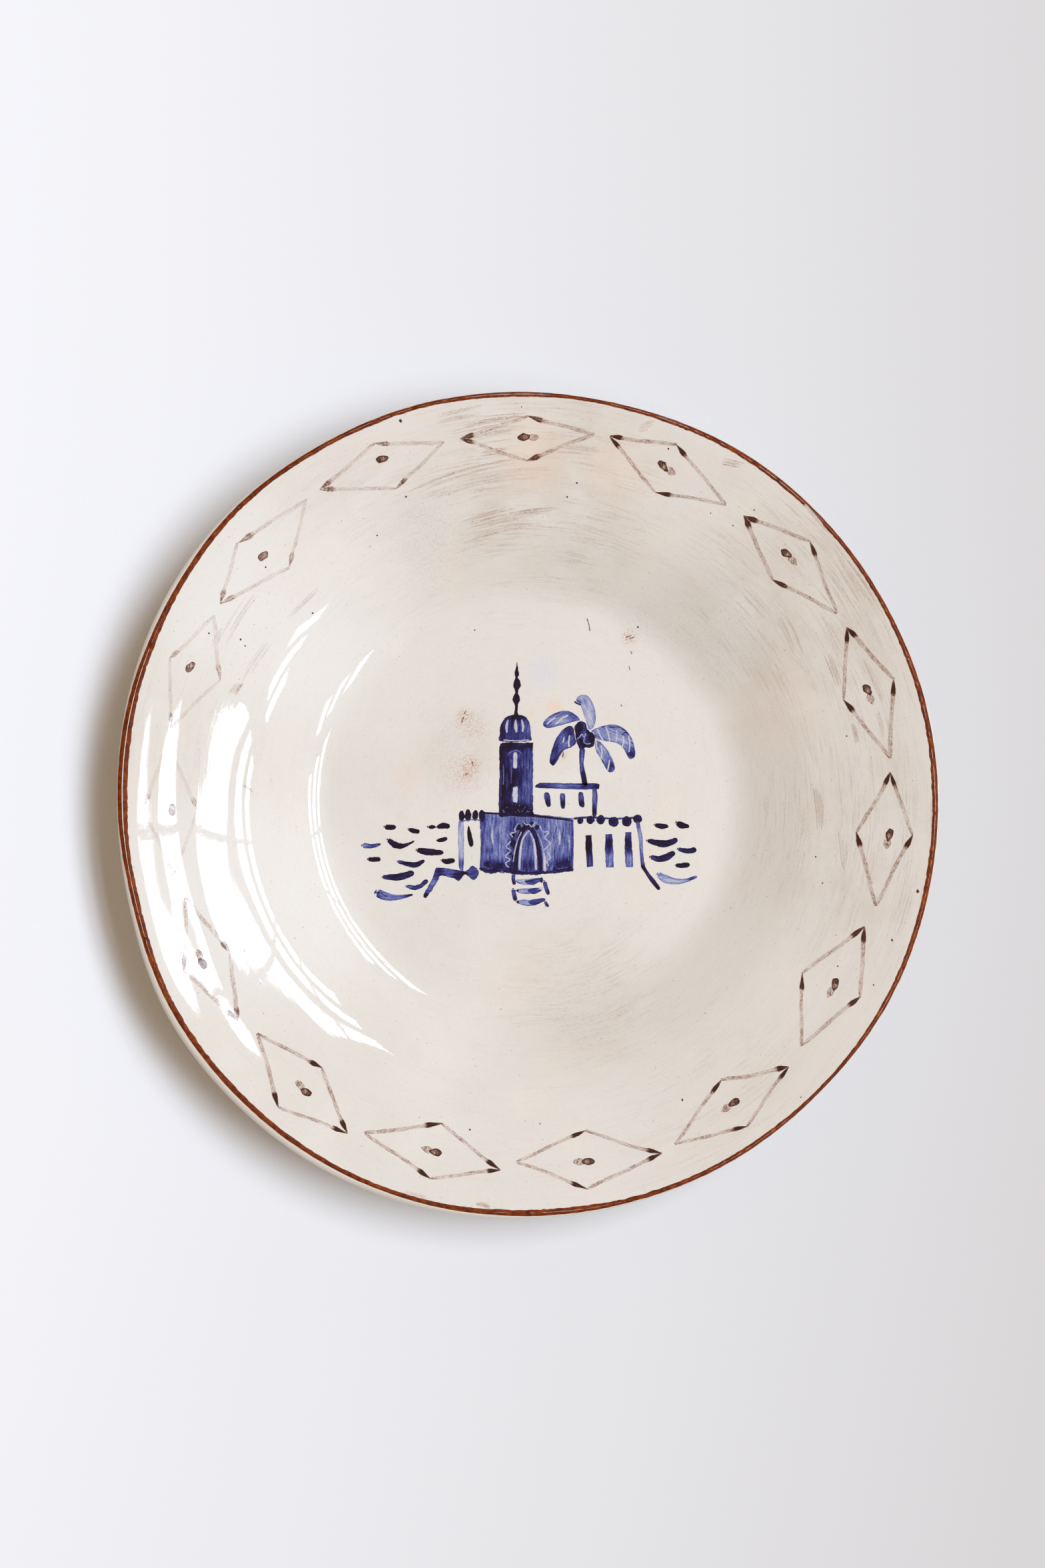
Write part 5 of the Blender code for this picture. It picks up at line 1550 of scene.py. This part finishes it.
def build_floor():
    """Plain pale table, darker towards the right: painted shade of the uneven light across it."""
    bpy.ops.mesh.primitive_grid_add(x_subdivisions=8, y_subdivisions=8, size=TABLE_SIZE)
    floor = bpy.context.object
    floor.name = "pale_table"
    graph = Graph("pale_table_paper")
    flat, _, _, _ = graph.here()
    across = graph.make("ShaderNodeSeparateXYZ", {0: flat}).outputs[0]
    # Painted shade: the table's colour darkens from left to right
    base = graph.mix(graph.spread(across, -180.0, 180.0, 0.0, 1.0),
                     (0.885, 0.885, 0.905), (0.605, 0.58, 0.565))
    graph.put(graph.shader.inputs["Base Color"], base)
    graph.put(graph.shader.inputs["Normal"],
              graph.bump(graph.noise(flat, 0.8, 4.0, 0.6), 0.15, 0.0001))
    graph.shader.inputs["Roughness"].default_value = 0.8
    graph.shader.inputs["Specular IOR Level"].default_value = 0.2
    floor.data.materials.append(graph.material)


def add_light(name, height, degrees, sideways, width, length, power):
    """Area light facing the plate, so many degrees from overhead towards the window side.

    Sideways runs along the window, width across it and length along it, in metres.
    """
    angle = math.radians(degrees)
    reach = height * math.tan(angle)
    c, s = math.cos(WINDOW_AZIMUTH), math.sin(WINDOW_AZIMUTH)
    light = bpy.data.lights.new(name, "AREA")
    light.shape = "RECTANGLE"
    light.size = width
    light.size_y = length
    light.energy = power
    light.color = DAYLIGHT
    lamp = bpy.data.objects.new(name, light)
    lamp.location = (reach * c - sideways * s, reach * s + sideways * c, height)
    lamp.rotation_euler = (0.0, angle, WINDOW_AZIMUTH)
    bpy.context.scene.collection.objects.link(lamp)
    return lamp


# Panes of the window: angle from overhead of each row, then start and end of each column
PANE_HEIGHT = 1.5
PANE_ROWS = (19.5, 25.4, 31.2)
PANE_COLUMNS = ((-0.72, -0.50), (-0.30, -0.05), (-0.03, 0.19), (0.21, 0.40), (0.42, 0.62))
PANE_WIDTH = 0.09
PANE_POWER_PER_LENGTH = 3.6

# The rest of the window's light: height, angle from overhead, shift along the window,
# width, length and power
SKY = (3.0, 31.0, 0.1, 0.8, 2.4, 97.0)
ROOM_STRENGTH = 0.36
LENS = 50.0
SENSOR = 36.0


def build_stage():
    """Floor, soft window light from the right, even fill, and a camera looking straight down."""
    build_floor()
    for row, degrees in enumerate(PANE_ROWS, start=1):
        for column, (start, end) in enumerate(PANE_COLUMNS, start=1):
            length = end - start
            add_light(f"pane_{row}_{column}", PANE_HEIGHT, degrees, (start + end) / 2,
                      PANE_WIDTH, length, PANE_POWER_PER_LENGTH * length)
    sky = add_light("soft_sky", *SKY)
    sky.visible_glossy = False
    world = bpy.data.worlds.new("even_fill")
    world.use_nodes = True
    fill = world.node_tree.nodes["Background"]
    fill.inputs["Color"].default_value = ROOM_LIGHT
    fill.inputs["Strength"].default_value = ROOM_STRENGTH
    bpy.context.scene.world = world
    lens = bpy.data.cameras.new("overhead_camera")
    lens.lens = LENS
    lens.sensor_width = SENSOR
    camera = bpy.data.objects.new("overhead_camera", lens)
    camera.location = CAMERA_AT
    bpy.context.scene.collection.objects.link(camera)
    bpy.context.scene.camera = camera
    bpy.context.scene.view_settings.view_transform = "Standard"


build_stage()
build_face()
build_back()
build_clay()
build_foot()
build_bare_line()
brown_paint = ink_material("brown_underglaze", BROWN, True)
for build in (build_diamonds, build_smears, build_specks):
    build(brown_paint)
blue_paint = ink_material("blue_underglaze", BLUE, False)
for build in (build_minaret, build_gatehouse, build_left_wall, build_house, build_right_wall,
              build_palm, build_steps, build_water):
    build(blue_paint)
